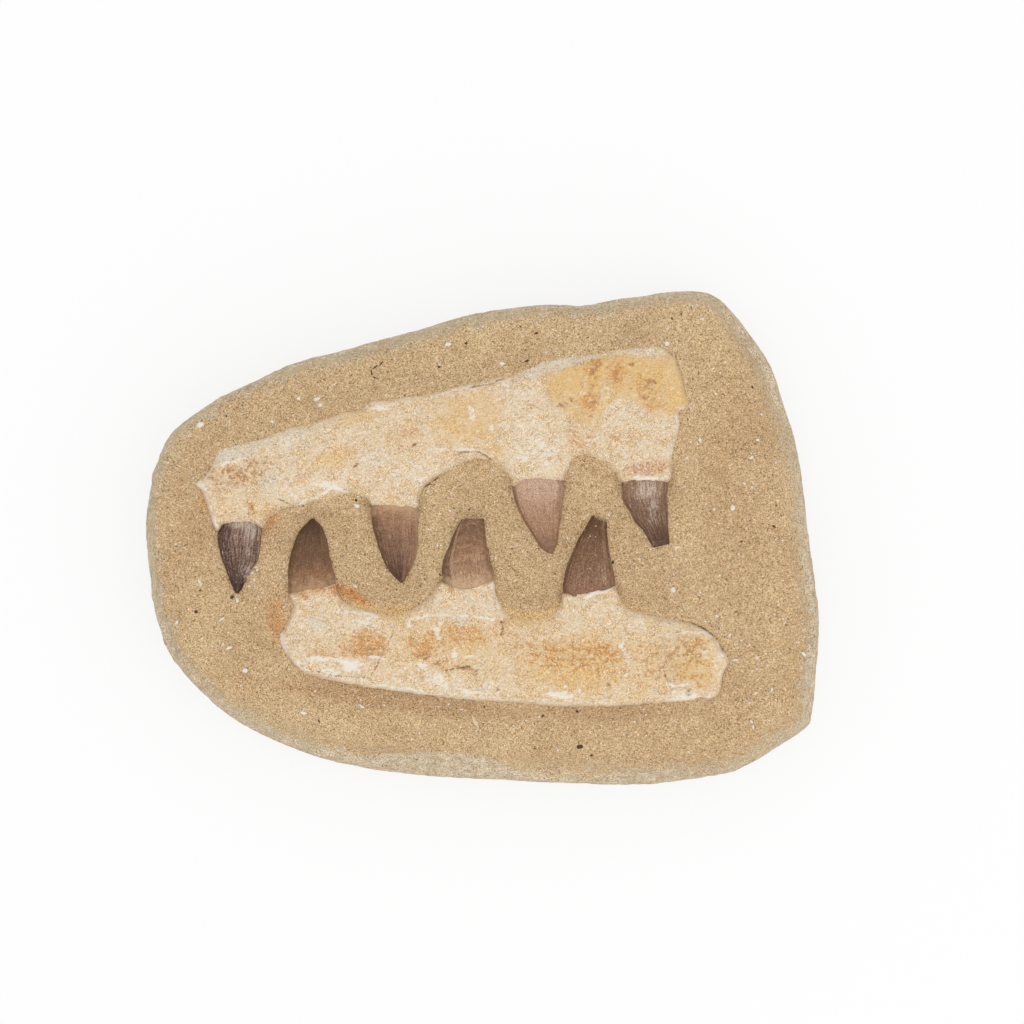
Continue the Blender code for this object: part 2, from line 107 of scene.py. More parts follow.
SHOULDER_LEVELS = 5         # rings from there to the top
WIDEST_SHARE = 0.92         # most of the shoulder's width that the side takes up
SHOULDER_REACH = 6.0        # how far its rounding goes
SHOULDER_ROUNDS = 50
WEAR_FADES = 31.0           # heights between which the side's wear fades out
WEAR_ENDS = 37.5
CRUST_FULL = 14.0           # heights between which the crust on the sides sets in
CRUST_FADES = 22.0

# The bones' outlines by photo pixel, clockwise
UPPER_OUTLINE = (
    (220.8, 449), (238.4, 444.5), (260.4, 438.7), (278, 432), (300, 425.5), (322, 420.3), (336.7, 415.2),
    (345.5, 412.6), (362, 409.2), (366, 404.6), (371.9, 401.7), (395.4, 398.8), (420, 395), (437.9, 391.8),
    (452, 387.9), (466.4, 384.6), (480.7, 381.4), (491.4, 378.9), (500.4, 377.1), (509.3, 376.6),
    (518.2, 372.1), (530.7, 367.7), (545, 361.4), (559.3, 358.4), (580.7, 355.7), (598.6, 352.9),
    (616.4, 349.8), (634.3, 347.5), (655, 346.3), (663, 348.6), (668.5, 353.6), (674.5, 357), (677, 365),
    (681.6, 375.7), (684.3, 390), (687.3, 399), (687.6, 406), (680.2, 410.5), (679, 415), (679.5, 427.5),
    (677, 438.2), (673.6, 447), (672, 456), (671.8, 465), (669, 481.5), (655, 481.2), (638, 480.2),
    (623, 482.8), (617.3, 477.5), (614.6, 472), (607.5, 465), (598.6, 459.6), (589.6, 456), (581.6, 455),
    (575.4, 458.8), (571.2, 463.5), (569.5, 468), (565.5, 473), (562.5, 480), (545, 479), (525, 479.5),
    (513, 486.5), (510.2, 479.3), (503.9, 471.3), (496.8, 465), (487.9, 461), (477, 459.3), (466.4, 461.4),
    (455.7, 465.9), (443.2, 473), (430.7, 481), (421.8, 489.5), (419, 498), (418.5, 507.5), (403, 506.5),
    (387, 504.5), (371.5, 505.5), (368.2, 500.3), (362.4, 496.6), (355.8, 494.4), (348.4, 493.7),
    (339.6, 495.9), (330.8, 499.6), (322, 501.8), (313.2, 502.5), (301.5, 505.4), (292.7, 506.5),
    (283.9, 509.1), (276.5, 513.5), (270.7, 517.9), (266.3, 522.3), (262, 528), (255, 523.5), (248, 521.5),
    (239, 521.5), (230, 522.5), (223, 525), (217.5, 531.5), (214.2, 526.7), (210.5, 516.4), (206.9, 506.2),
    (203.9, 497.4), (201, 489.6), (197, 486), (196.4, 482.5), (203.2, 478.3), (206.1, 473.9), (210.5, 468),
    (214.2, 461.1), (216.6, 453.3))
LOWER_OUTLINE = (
    (289.6, 593.5), (298, 592.8), (306.7, 590), (315.9, 588.5), (325, 586), (334, 583.5), (336.5, 588),
    (338.9, 594.9), (344, 601), (350.5, 605), (361.8, 608.4), (377.1, 612.5), (392.5, 614.8),
    (403.2, 611.7), (412.4, 607.9), (421.5, 602.6), (430.7, 594.9), (435.3, 588.8), (441.5, 581.5),
    (450.6, 586), (459, 588.6), (468, 589), (476.6, 587), (485, 583.8), (493.6, 580.5), (495, 591.8),
    (497.3, 599.5), (501.1, 605.6), (506.5, 611.7), (515.5, 616.5), (526.7, 618.8), (537.8, 618),
    (547.4, 616.5), (555.4, 611.7), (559.4, 605.3), (561.7, 598.9), (563, 593.5), (576, 594.6),
    (588.9, 592.6), (601.6, 589), (614.8, 585.6), (616.5, 589.5), (619.1, 595.7), (623.9, 603.7),
    (630.3, 609.3), (639.9, 612), (652.6, 615.7), (665.4, 618.4), (678.1, 620.4), (689.3, 622.8),
    (698.9, 626.8), (706.8, 631.6), (713.2, 636.4), (718, 642), (720.4, 648.3), (726, 654.7),
    (728.7, 661.1), (727.6, 665.9), (724.4, 670.7), (722, 678.6), (721.2, 688.2), (716.4, 696.2),
    (708, 700), (700.5, 697.5), (689.3, 701), (678.1, 701.8), (659, 702.6), (633.5, 704.9), (609.6, 706.5),
    (585.7, 706.5), (558.6, 706), (529.9, 703.8), (510, 702), (484.3, 700.8), (461.3, 699.3),
    (438.4, 696.7), (415.4, 693.6), (392.5, 690.6), (369.5, 687.5), (349.6, 684), (331.2, 680.6),
    (315.9, 676.8), (302.1, 671.4), (293, 662.2), (285.3, 653.1), (281.5, 643.9), (279.6, 635.2),
    (283.8, 630.1), (286.8, 622.5), (291.4, 613.3), (293.7, 605.6), (291.4, 599.5))
# Each bone's outline, and a seed for the small breaks of its edge
BONE_OUTLINES = {"upper_bone": (UPPER_OUTLINE, 11), "lower_bone": (LOWER_OUTLINE, 12)}
BONE_SPACING = 0.4          # between points of a bone's rim and of its upper face
BONE_WALL = (0.0, 0.4, 0.7, 0.88)           # rings below the rim, as shares of the edge's height
BONE_RIM_HEIGHT = 43.1      # where the bevel starts
BONE_SEAT = 42.8            # the rock's height where it meets a bone
SEAT_COVER = 0.4            # how far the rock's edge covers the bone's
SEAT_REACH = 4.0            # how far the rock takes to come to that height
SEAT_SPREAD = 1.5           # and how much further for each millimetre of rise
SEAT_NEAR = 1.0             # distances from a tooth between which the rise below grows to its full height
SEAT_FAR = 6.0
BED_DEPTH = 2.0             # how far the rock lies lower under a bone
# Where rock and bone slope gently to meet, by photo pixel: centre, half sizes, tilt, the rock's rise
SEAT_RISES = (
    (466, 470, 54, 26, 20, 1.8), (590, 464, 34, 24, 0, 1.8), (325, 502, 66, 18, 4, 1.8),
    (392, 606, 66, 18, 0, 1.8), (529, 614, 44, 20, 0, 1.8), (660, 616, 60, 14, -16, 1.4),
    (300, 426, 110, 16, 16, 1.5), (420, 394, 80, 14, 10, 1.5), (580, 360, 130, 18, 12, 1.5),
    (684, 420, 14, 70, 0, 1.1), (206, 500, 16, 38, -15, 1.2), (286, 620, 12, 34, 8, 1.0))
SLOPE_SPREAD = 1.3          # further width of the bone's sloping side for each millimetre of rise
DUST_REACH = 1.6            # width of the sandy edge of the bones there
BEVEL = 1.1                 # width of the bevel, except where the side slopes more gently
BEVEL_POWER = 2.2
WRAP = 0.1                  # how far the bone stands above the tooth that it holds
TOOTH_SEAT_REACH = 2.2      # how far the rock takes to rise beside a tooth
ROCK_SWELL = 0.35           # heights of the broad and the finer waves of the rock's top, and of the bones'
ROCK_RIPPLE = 0.2
BONE_SWELL = 0.2
PLATE_EDGE = 0.25           # half width of the step up to a plate
FLAKES = ((7.0, 4.0, 1.0), 4, 51)           # size of the shallow flakes, octaves, seed
FLAKE_STEPS = ((0.16, 0.12), (0.14, -0.2))  # height of each step, and the noise at which it starts
FLAKE_EDGE = 0.05           # difference in noise over which it rises
PIT_DEPTH = 0.5             # how deep a brown mark is for its strength, and the strength at which it starts
PIT_STARTS = 0.6
PALE_RISE = 0.2             # of the pale marks
COVER_WIDTH = 1.05          # width of the bone over a tooth's root, as a share of the tooth's
COVER_STARTS = (-3.0, -1.5)                 # how far over the crown it thins out
COVER_FADES = 5.0           # and how far behind the root

# Layers of noise: height, size of its lumps, octaves, and a seed, which may be added to a piece's own
ROCK_TOP_NOISE = ((0.3, 9.0, 2, 21), (0.16, 2.4, 2, 22))
ROCK_SIDE_NOISE = ((0.8, 13.0, 3, 31), (0.5, 4.2, 3, 32), (0.4, (16.0, 16.0, 2.6), 2, 33),
                   (0.25, 1.8, 2, 35))
ROCK_FINE_NOISE = ((0.09, 1.9, 2, 34),)
BONE_RIM_NOISE = ((0.18, 4.0, 2, 0), (0.24, 1.6, 2, 7))
BONE_FACE_NOISE = ((0.35, 9.0, 3, 53), (0.12, 1.6, 3, 54))
PLATE_RIM_NOISE = ((0.55, 3.6, 4, 61),)
COVER_NOISE = ((0.06, 1.3, 2, 55),)
TOOTH_NOISE = ((0.12, 3.0, 3, 0), (0.1, 0.9, 2, 3))
# How far marks on the rock and the bones waver, in photo pixels, then size, octaves and seed
ROCK_WAVER = (5.0, 5.0, 2, 41)
BONE_WAVER = (4.0, 4.0, 3, 71)

# Further gentle slopes of a bone's side: centre, half sizes, tilt, further width in mm
SLOPES = (
    (236, 452, 40, 12, 14, 3.6), (300, 430, 34, 8, 16, 1.0), (562, 364, 46, 12, 12, 4.2),
    (648, 351, 24, 9, 6, 2.8), (676, 432, 7, 26, -4, 1.6), (284, 642, 7, 14, 0, 1.0),
    (450, 700, 190, 12, -7, 0.7))

# Teeth by photo pixel: left and right edge from base to tip, and the crown's height in mm
TEETH = {
    "tooth_upper_1": (
        ((219.5, 530), (217.7, 536), (218.4, 545), (221.7, 559), (227, 572), (231.8, 585), (236.0, 593)),
        ((262, 529), (261.3, 538.5), (259.9, 552), (257, 563), (252.5, 569.5), (247.9, 579), (242.5, 588),
         (238.5, 593.5)),
        5.2),
    "tooth_upper_2": (
        ((370.7, 505), (370.7, 511), (372.7, 527), (376.7, 542), (380.8, 554), (384.8, 564), (391.5, 574),
         (397.5, 580), (400.7, 582.8)),
        ((418.9, 507), (418.9, 515), (418.1, 528), (418.3, 545), (414.9, 562), (411, 570), (406, 578),
         (402.4, 582.8)),
        5.8),
    "tooth_upper_3": (
        ((512, 487), (512.7, 492), (515.4, 502), (518.7, 512), (523.4, 520.6), (529, 529), (535, 538.6),
         (540, 547), (545.5, 551), (550.7, 553.8)),
        ((564.3, 484), (564.3, 492), (562.6, 502.5), (562, 512), (560.6, 522), (558.9, 532), (557.6, 543),
         (555, 548), (552.4, 553.6)),
        5.8),
    "tooth_upper_4": (
        ((621.5, 482.6), (622, 489), (622, 498), (625.8, 506), (630.6, 513.5), (634, 521), (638.5, 526),
         (642.7, 530.5), (646.4, 536), (649.4, 542), (653.6, 547.5)),
        ((668, 481), (667.6, 495), (667.6, 507), (668.2, 520), (668.8, 532), (670, 543.5)),
        5.6),
    "tooth_lower_1": (
        ((288.4, 591), (288.1, 572), (289.4, 561), (291.4, 552), (294.4, 542), (298.4, 533), (306, 524),
         (312.2, 518.8)),
        ((335, 584), (335.3, 577), (332.6, 567), (330, 555), (328, 542.5), (323, 528), (318.5, 523),
         (314.2, 518.8)),
        5.4),
    "tooth_lower_2": (
        ((443, 582), (442, 572), (443, 561), (447.5, 549), (451, 541), (453, 535), (456.7, 527),
         (461.5, 519.5)),
        ((494.4, 580), (494.2, 577), (493.6, 570.5), (491.2, 562.6), (488.8, 550.5), (486.4, 541),
         (485, 526), (484.3, 519)),
        5.8),
    "tooth_lower_3": (
        ((563.2, 594), (563, 585), (565.4, 572), (567.4, 564), (572.8, 552), (576.8, 542), (581.5, 534),
         (587.5, 524), (593.0, 514.9)),
        ((615.2, 589), (615, 585), (613.6, 572), (611.6, 562), (609.6, 552), (608, 542), (607, 532),
         (607, 522.4)),
        5.8),
}
TOOTH_STATIONS = 110
TOOTH_ROOT_STATIONS = 8
TOOTH_ARC = 56              # segments over a crown's rounded side
TOOTH_UNDER = 8             # segments of its hidden side
TOOTH_UNDER_DEPTH = 3.5
TOOTH_TAPER = 0.85
TOOTH_BEDDING = 0.6         # how far the rock reaches up beside a tooth
TOOTH_TIP_HEIGHT = 1.6
TOOTH_SEED = 93             # of its noise, to which its number is added
TOOTH_EDGE = 0.12           # raggedness of a crown's edge
TOOTH_EDGE_NOISE = (1.5, 3, 91)             # its size, octaves and seed
TOOTH_RIDGES = 0.1          # height of the ridges along a crown
RIDGES_ROUND = 5.0          # how many of them there are for each radian round it
RIDGES_ALONG = 1.2          # and how often they change along it
ROOT_DEPTH = 7.0
ROOT_NARROWING = 1.6

LAMP_PLACE = (0.62, -0.72, 1.6)
LAMP_POWER = 10.0
LAMP_SIZE = 2.2
SKY = 1.2                   # strength of the light from all round
FLOOR_REACH = 6.0
FLOOR_GREY = 0.14
FLOOR_GLOW = 0.78           # what other light the floor gets, so that it photographs white

# Colours as the photograph's light shows them, and how bright that light is on a level white surface
LIGHT = 1.42
SAND = (205, 173, 130)
SAND_PALE = (216, 186, 142)
SAND_DARK = (184, 149, 102)
GRAIN_DARK = (148, 110, 70)
GRAIN_PALE = (232, 208, 166)
# SHADE_SAND is the colour of the painted shade, and of the brownish stain below the lower jaw
SHADE_SAND = (178, 140, 100)
SHELL_WHITE = (240, 236, 229)
SPECK_DARK = (82, 60, 42)
CRUST = (226, 211, 184)
CRUST_GREY = (206, 188, 158)
RUST = (208, 134, 64)
GOLD = (224, 184, 122)
RED = (190, 122, 88)
CREAM = (240, 219, 188)
CREAM_PINK = (230, 199, 157)
CREAM_PALE = (249, 237, 215)
OCHRE = (236, 194, 124)
ORANGE = (213, 145, 66)
BROWN = (172, 122, 78)
BONE_WHITE = (250, 243, 230)
# Grey of the bone, which on its sloping faces is painted shade
GREY_AND_SHADE = (231, 219, 197)
CRACK = (138, 88, 48)
SPECKLE = (198, 146, 94)

# Grains: their size, the share of them that is darker and as many paler, and the factors for both
ROCK_GRAINS = ((0.27, 0.5, (0.5, 0.46, 0.35), (1.5, 1.55, 1.73)),
               (0.55, 0.06, (0.5, 0.44, 0.36), (1.3, 1.36, 1.5)))
BONE_GRAINS = (0.27, 0.5, (0.56, 0.54, 0.5), (1.42, 1.44, 1.48))
ENAMEL_GRAINS = (0.28, 0.5, (0.66, 0.64, 0.62), (1.34, 1.36, 1.38))
# Spots on the rock and the bone: colour, cell size, share of the cells that have one, how large one can
# be, how strong it is, and how they are drawn out along each axis and turned
ROCK_SPOTS = ((SHELL_WHITE, 2.6, 0.5, 0.16, 0.95, (1.0, 0.8, 1.0), 20.0),
              (SPECK_DARK, 3.4, 0.36, 0.09, 0.85, (1.0, 1.3, 1.0), 30.0))
BONE_SPOTS = (RUST, 2.4, 0.1, 0.16, 0.7, (1.2, 0.9, 1.0), 12.0)
# How each mask tints the bone: colour, the mask's values between which it sets in, its most, how much of
# it is speckle rather than an even tint, and how far its edge is broken up
BONE_TINTS = (
    # The first tint is the bone's grey, partly painted shade on its sloping faces
    ("grey_and_shade", GREY_AND_SHADE, 0.25, 0.8, 0.8, 0.1, 4.0), ("tint", OCHRE, 0.42, 0.58, 0.75, 0.3, 2.2),
    ("ochre", OCHRE, 0.3, 0.9, 0.85, 0.3, 5.0), ("orange", ORANGE, 0.35, 0.95, 0.9, 0.45, 5.0),
    ("red", RED, 0.35, 0.8, 0.8, 0.6, 5.0), ("brown", BROWN, 0.45, 0.9, 0.8, 0.3, 5.0),
    ("dust", SAND_PALE, 0.3, 0.9, 0.6, 0.3, 5.0))
# Lines on the bone: mask, half width, colour, its most, and how much of that is left in their gaps
BONE_LINES = (("rim", 0.5, BONE_WHITE, 0.8, 0.1), ("line", 0.6, BONE_WHITE, 0.95, 0.35),
              ("crack", 0.32, CRACK, 0.75, 0.5))

# Looks of each tooth: colours from base to tip, the pale and dark streaks with their strength, flecks,
# curved cross bands, how the base fades into the bone, and tinted bands along the tooth, each with its
# place across at base and tip, from -1 at the left edge to 1, half width, colour and strength
TOOTH_LOOKS = {
    "tooth_upper_1": dict(
        tints=((136, 102, 84), (108, 75, 56), (62, 33, 17)), pale=(202, 182, 164), dark=(44, 28, 22),
        striae=1.0, flecks=0.6, rings=0.0, fade=0.0,
        bands=((-0.9, -0.8, 0.55, (84, 46, 38), 0.85), (0.5, 0.1, 0.35, (142, 120, 104), 0.32))),
    "tooth_upper_2": dict(
        tints=((172, 126, 94), (128, 92, 70), (86, 56, 42)), pale=(206, 172, 140), dark=(78, 50, 38),
        striae=0.5, flecks=0.1, rings=0.15, fade=0.35,
        # Its dark band at the left edge is partly painted shade and its pale band at the right edge partly a
        # painted highlight, both partly the enamel's own tint
        bands=((-1.0, -1.0, 0.4, (106, 72, 54), 0.6), (1.0, 1.0, 0.16, (190, 166, 130), 0.6),
               (0.6, 0.6, 0.4, (166, 126, 96), 0.4))),
    "tooth_upper_3": dict(
        tints=((202, 166, 140), (174, 134, 104), (142, 106, 82)), pale=(218, 190, 166), dark=(126, 90, 66),
        striae=0.45, flecks=0.05, rings=0.1, fade=0.0,
        # Its dark band at the left edge is partly painted shade, partly the enamel's own tint
        bands=((-1.0, -1.0, 0.16, (134, 98, 70), 0.7), (0.9, 0.9, 0.2, (158, 120, 92), 0.5))),
    "tooth_upper_4": dict(
        tints=((162, 126, 98), (126, 90, 64), (92, 60, 42)), pale=(210, 192, 172), dark=(66, 44, 32),
        striae=0.5, flecks=0.3, rings=0.15, fade=0.0,
        bands=((0.98, 0.95, 0.2, (110, 78, 58), 0.5), (-0.6, -0.7, 0.3, (128, 92, 64), 0.3))),
    "tooth_lower_1": dict(
        tints=((158, 116, 84), (114, 82, 58), (88, 60, 40)), pale=(158, 126, 98), dark=(68, 46, 32),
        striae=0.4, flecks=0.05, rings=0.15, fade=0.25,
        bands=((1.0, 0.8, 0.12, (150, 116, 88), 0.3), (-0.95, -0.8, 0.18, (92, 66, 46), 0.4))),
    "tooth_lower_2": dict(
        tints=((172, 132, 100), (152, 114, 84), (126, 92, 66)), pale=(206, 170, 138), dark=(100, 70, 52),
        striae=0.35, flecks=0.1, rings=0.4, fade=0.45,
        # Its dark band at the left edge is partly painted shade, partly the enamel's own tint
        bands=((-0.9, -1.0, 0.34, (112, 80, 62), 0.85), (-0.56, -0.84, 0.07, (194, 160, 126), 0.6),
               (0.95, 0.95, 0.2, (124, 90, 68), 0.5))),
    "tooth_lower_3": dict(
        tints=((146, 106, 80), (128, 92, 66), (104, 71, 47)), pale=(206, 178, 150), dark=(70, 46, 32),
        striae=0.35, flecks=0.5, rings=0.0, fade=0.0,
        bands=((0.72, 0.6, 0.16, (160, 124, 94), 0.3), (-0.97, -0.95, 0.12, (96, 68, 50), 0.5))),
}
TOOTH_FLATNESS = 2.4        # 2 is a round crown; more is flatter above with steeper sides

# Where a tooth's edge is broken: centre, half sizes, tilt, how far in mm
TOOTH_BREAKS = ((248, 577, 8, 16, 30, 0.9), (413, 569, 5, 10, 20, 0.3), (640, 528, 8, 16, -30, 0.3))

# Patches on the teeth, by photo pixel: centre, half sizes, tilt, strength
TOOTH_PALE = (
    (242, 523, 16, 5, 0, 1.0), (251, 531, 9, 10, 0, 1.0), (252, 548, 5, 16, 0, 0.4),
    (249, 573, 7, 10, 30, 0.6), (394, 510, 1.4, 8, 0, 0.5), (409, 514, 7, 12, 0, 0.35),
    (530, 485, 26, 4, 0, 0.5), (648, 490, 10, 11, 0, 0.75), (654, 510, 6, 14, 0, 0.5),
    (332, 577, 2.5, 5, 0, 0.8), (476, 557, 14, 5, 0, 0.35), (467, 583, 24, 4, 0, 0.5),
    (603, 578, 9, 9, -20, 0.35), (599, 517, 6, 2.5, -25, 0.8))
TOOTH_DARK = (
    (225, 540, 7, 16, 0, 0.6), (234, 578, 9, 12, 0, 0.6), (382, 526, 8, 12, 0, 0.4),
    (535, 542, 9, 2.5, -50, 0.5), (466, 572, 10, 6, 0, 0.35), (630, 503, 9, 5, 0, 0.4),
    (640, 518, 6, 10, -30, 0.4), (312, 528, 12, 9, 0, 0.3))

# Marks on the rock, by photo pixel: centre, half sizes, tilt, strength
ROCK_STAINS = (
    (354, 598, 24, 8, -32, 1.0), (386, 610, 28, 5, -10, 0.6), (278, 618, 11, 28, 0, 0.72),
    (202, 501, 4, 13, -15, 0.7), (270, 522, 12, 7, 40, 0.7), (262, 545, 6, 22, 0, 0.45),
    (380, 495, 22, 5, 10, 0.3), (250, 690, 30, 10, -30, 0.25), (640, 613, 26, 4, -18, 0.45),
    (612, 545, 5, 24, 8, 0.4), (565, 585, 6, 10, 0, 0.35), (300, 690, 30, 6, -20, 0.3),
    (700, 520, 40, 30, 0, 0.12), (200, 440, 30, 18, 20, 0.12))
GOLD_REACH = 6.0            # how far the gold tint reaches from the bones
ROCK_GOLD = ((530, 612, 34, 16, 0, 1.0), (440, 598, 24, 14, 30, 0.5), (385, 610, 36, 10, -8, 0.8),
             (640, 612, 30, 10, -16, 0.35))
# Darker sand: painted shade in the arches under the upper bone; below the lower jaw it is painted shadow and
# in part a brownish stain; also darker towards the slab's left and right ends
ROCK_SHADE = (
    (745, 480, 50, 130, 0, 0.5), (178, 545, 36, 80, 0, 0.5), (455, 468, 42, 12, 20, 0.4),
    (600, 470, 22, 12, -40, 0.4), (350, 502, 40, 8, 0, 0.3), (400, 700, 130, 11, -8, 1.0),
    (600, 714, 120, 9, 1, 0.7))
# Where the pale crust reaches up over the slab's edge: centre, half sizes, tilt, how far in from it
ROCK_CRUST = (
    (147, 505, 24, 90, 0, 5.0), (172, 640, 90, 60, -62, 6.2), (245, 722, 90, 60, -35, 6.2),
    (330, 757, 50, 60, -15, 6.5), (444, 780, 72, 60, -5, 12.5), (545, 778, 54, 50, 0, 4.5),
    (650, 778, 44, 40, 3, 8.0), (806, 560, 24, 110, -6, 6.0), (814, 680, 24, 60, 0, 7.0),
    (764, 372, 24, 50, 30, 6.0), (748, 350, 40, 30, -50, 6.5), (320, 352, 170, 30, 18, 3.6),
    (500, 312, 120, 24, 8, 3.6), (670, 296, 90, 24, 2, 3.6))
CRUST_EASE = 5.0            # distance over which it sets in, and how far that lies in from the edge
CRUST_INSET = 0.3
EDGE_CRUST = 0.8            # how much of it lies in patches along the rest of the edge
EDGE_REACH = 14.0           # how far in these fade out
EDGE_LIMIT = 40.0           # distance from the edge beyond which it isn't measured

# Plates of the bones' surface that lie a little higher, by photo pixel
PLATES = (
    ((430.7, 399), (446.8, 391.8), (468, 387.3), (486, 387), (500.4, 381), (507.5, 386.4), (508.4, 397),
     (504, 418.6), (496.8, 433), (493, 447), (491.4, 457), (480.7, 450.7), (464.6, 450), (443, 450.7),
     (425.4, 447), (418, 430), (420, 412)),
    ((546.8, 372), (571.8, 366.8), (586, 363), (595, 357), (630.7, 355), (638, 359), (657.5, 357),
     (670, 354.3), (675.4, 359.6), (680.7, 375.7), (690, 399), (692, 407), (679, 409.6), (670, 416.8),
     (661, 420.4), (652, 415), (643, 406), (629, 399), (614.6, 399), (607.5, 408), (600.4, 418.6),
     (595, 433), (586, 429), (573.6, 420.4), (561, 411.4), (552, 406), (548.6, 388.2)),
    ((665, 636), (681, 631), (697, 629), (707, 634), (715, 639), (720, 648), (732, 660), (730, 669),
     (727, 679), (724, 690), (717, 701), (704, 702), (686, 706), (668, 703), (672, 690), (666, 672),
     (668, 655)))
PLATE_RISES = (0.5, 0.45, 0.55)
# How ochre each plate is
PLATE_TINTS = ((470, 418, 44, 36, 0, 0.56), (610, 384, 74, 44, 0, 0.85), (676, 385, 24, 34, 0, 0.8),
               (694, 660, 34, 36, 0, 0.55))
# Where a plate's edge shows as a pale line
PLATE_RIMS = (
    (470, 386, 46, 8, 12, 1.0), (506, 386, 6, 10, 0, 0.7), (476, 452, 17, 5, -8, 1.0),
    (446, 452, 26, 5, 0, 0.6), (712, 645, 22, 22, 0, 0.9), (700, 700, 30, 8, 0, 1.0),
    (684, 408, 8, 5, 0, 0.7))

# Marks on the bones, by photo pixel: centre, half sizes, tilt, strength
OCHRE_MARKS = (
    (336, 457, 24, 10, 12, 0.75), (362, 417, 22, 5, 12, 0.8), (497, 451, 10, 6, 20, 1.1),
    (678, 396, 9, 15, 0, 0.8), (578, 378, 32, 12, 12, 0.9), (640, 372, 34, 16, 0, 0.7),
    (340, 500, 34, 6, 10, 0.6), (395, 440, 30, 20, 0, 0.35), (580, 678, 28, 14, 0, 1.1),
    (706, 657, 14, 9, 20, 0.7), (598, 672, 14, 10, 0, 0.6), (520, 668, 34, 20, 0, 0.3),
    (250, 505, 40, 12, 0, 0.35), (625, 700, 30, 5, 0, 0.5), (655, 662, 44, 30, 0, 0.6),
    (529, 621, 32, 6, 0, 0.8), (390, 618, 38, 6, -5, 0.7), (575, 664, 56, 32, 0, 0.9),
    (450, 645, 64, 26, 0, 0.65), (470, 432, 40, 14, 0, 0.5), (694, 664, 28, 28, 0, 0.75))
ORANGE_MARKS = (
    (240, 472, 36, 11, 8, 0.55), (220, 478, 9, 7, 0, 0.7), (216, 488, 6, 6, 0, 0.6),
    (407, 433, 16, 7, 0, 0.6), (612, 437, 5, 3, 0, 0.8), (632, 436, 4, 2, 0, 0.6), (253, 508, 3, 5, 0, 0.9),
    (266, 513, 7, 10, 0, 0.6), (656, 406, 13, 8, 0, 0.65), (580, 440, 14, 10, 0, 0.6),
    (553, 458, 12, 5, 0, 0.6), (536, 406, 10, 6, 0, 0.65), (646, 470, 24, 6, 0, 0.4),
    (617, 372, 9, 16, -8, 0.85), (594, 368, 9, 12, -20, 0.8), (588, 400, 10, 20, -15, 0.75),
    (647, 388, 20, 14, -20, 0.6), (313, 592, 22, 5, 8, 0.8), (334, 588, 8, 6, 0, 0.8),
    (368, 646, 19, 13, 0, 1.1), (342, 651, 30, 8, 4, 0.65), (314, 652, 8, 4, 0, 0.7),
    (409, 642, 5, 6, 0, 0.95), (424, 648, 14, 10, 10, 0.95), (458, 634, 34, 9, 4, 0.8),
    (440, 664, 14, 5, 0, 0.55), (543, 651, 20, 12, 0, 0.6), (520, 640, 20, 10, 0, 0.5),
    (606, 652, 26, 10, -8, 0.85), (578, 657, 60, 18, -5, 0.6), (500, 628, 20, 14, 0, 0.4),
    (690, 648, 18, 10, 0, 0.55), (600, 594, 16, 4, 0, 0.6), (690, 680, 16, 9, 0, 0.6),
    (560, 676, 10, 18, 0, 0.4), (452, 591, 4, 3, 0, 0.9), (380, 470, 40, 20, 0, 0.25))
PALE_AND_HIGHLIGHT_MARKS = (
    (618, 412, 17, 15, 0, 0.5), (604, 398, 5, 12, -20, 0.45), (586, 385, 4, 14, -15, 0.4),
    (490, 443, 1.2, 5, 0, 0.8), (329, 483, 10, 3, -10, 1.0), (337, 488, 9, 2, -10, 1.0),
    (537, 428, 7, 3, 0, 0.6), (523, 439, 9, 4, 0, 0.5), (675, 426, 5, 12, -10, 0.7),
    (671, 455, 3, 10, 0, 0.7), (199, 485, 5, 5, 0, 1.0), (490, 427, 2, 3, 0, 1.0),
    (322, 659, 16, 3, -4, 1.2), (350, 665, 13, 5, -5, 1.2), (330, 672, 9, 4, 0, 1.0),
    (284, 642, 4, 12, 15, 1.1), (436, 632, 4, 6, 30, 1.2), (441, 624, 3, 2, -40, 1.3),
    (454, 655, 3.5, 4, 0, 1.2), (438, 679, 12, 7, -35, 1.0), (469, 691, 14, 2.4, -5, 1.2),
    (423, 666, 3.5, 3, 0, 1.2), (376, 657, 8, 2.4, -8, 1.2), (468, 655.5, 9, 1.4, 4, 1.2),
    (404, 690, 50, 3, -8, 0.9), (367, 621, 16, 7, -5, 0.85), (620, 645, 3, 3, 0, 1.3),
    (628, 658, 4, 11, 30, 0.75), (557, 695, 15, 3, -12, 1.0), (566, 689, 2, 2, 0, 1.3),
    (554, 636, 17, 3, 8, 0.7), (600, 592, 12, 3, 22, 1.3), (716, 660, 9, 14, 15, 0.6),
    # (350, 678), (480, 697) and (600, 703) follow the lower jaw's bottom edge: partly a painted highlight on
    # the lit rim, partly the bone's own pale edge
    (298, 664, 12, 4, -40, 0.9), (712, 652, 8, 10, 20, 0.6), (350, 678, 60, 3, -10, 0.7),
    (480, 697, 90, 2.5, -4, 0.7), (600, 703, 90, 2.5, 0, 0.5), (690, 697, 26, 3, 4, 0.9),
    (282, 474, 14, 12, 0, 0.5), (290, 492, 14, 6, 0, 0.6), (226, 455, 14, 6, 14, 0.5),
    (524, 420, 24, 36, 0, 0.5), (380, 404, 24, 5, 8, 0.6), (644, 478, 18, 2.5, 2, 0.9),
    (545, 625, 40, 14, 0, 0.3), (460, 604, 30, 12, 0, 0.35), (385, 478, 30, 10, 0, 0.4),
    (310, 628, 20, 14, 0, 0.35), (290, 440, 16, 8, 15, 0.55), (374, 458, 18, 12, 0, 0.55),
    (381, 408, 14, 3, 0, 0.8), (420, 480, 6, 12, -30, 0.7), (410, 470, 34, 12, 0, 0.5),
    (537, 452, 26, 18, 0, 0.7))
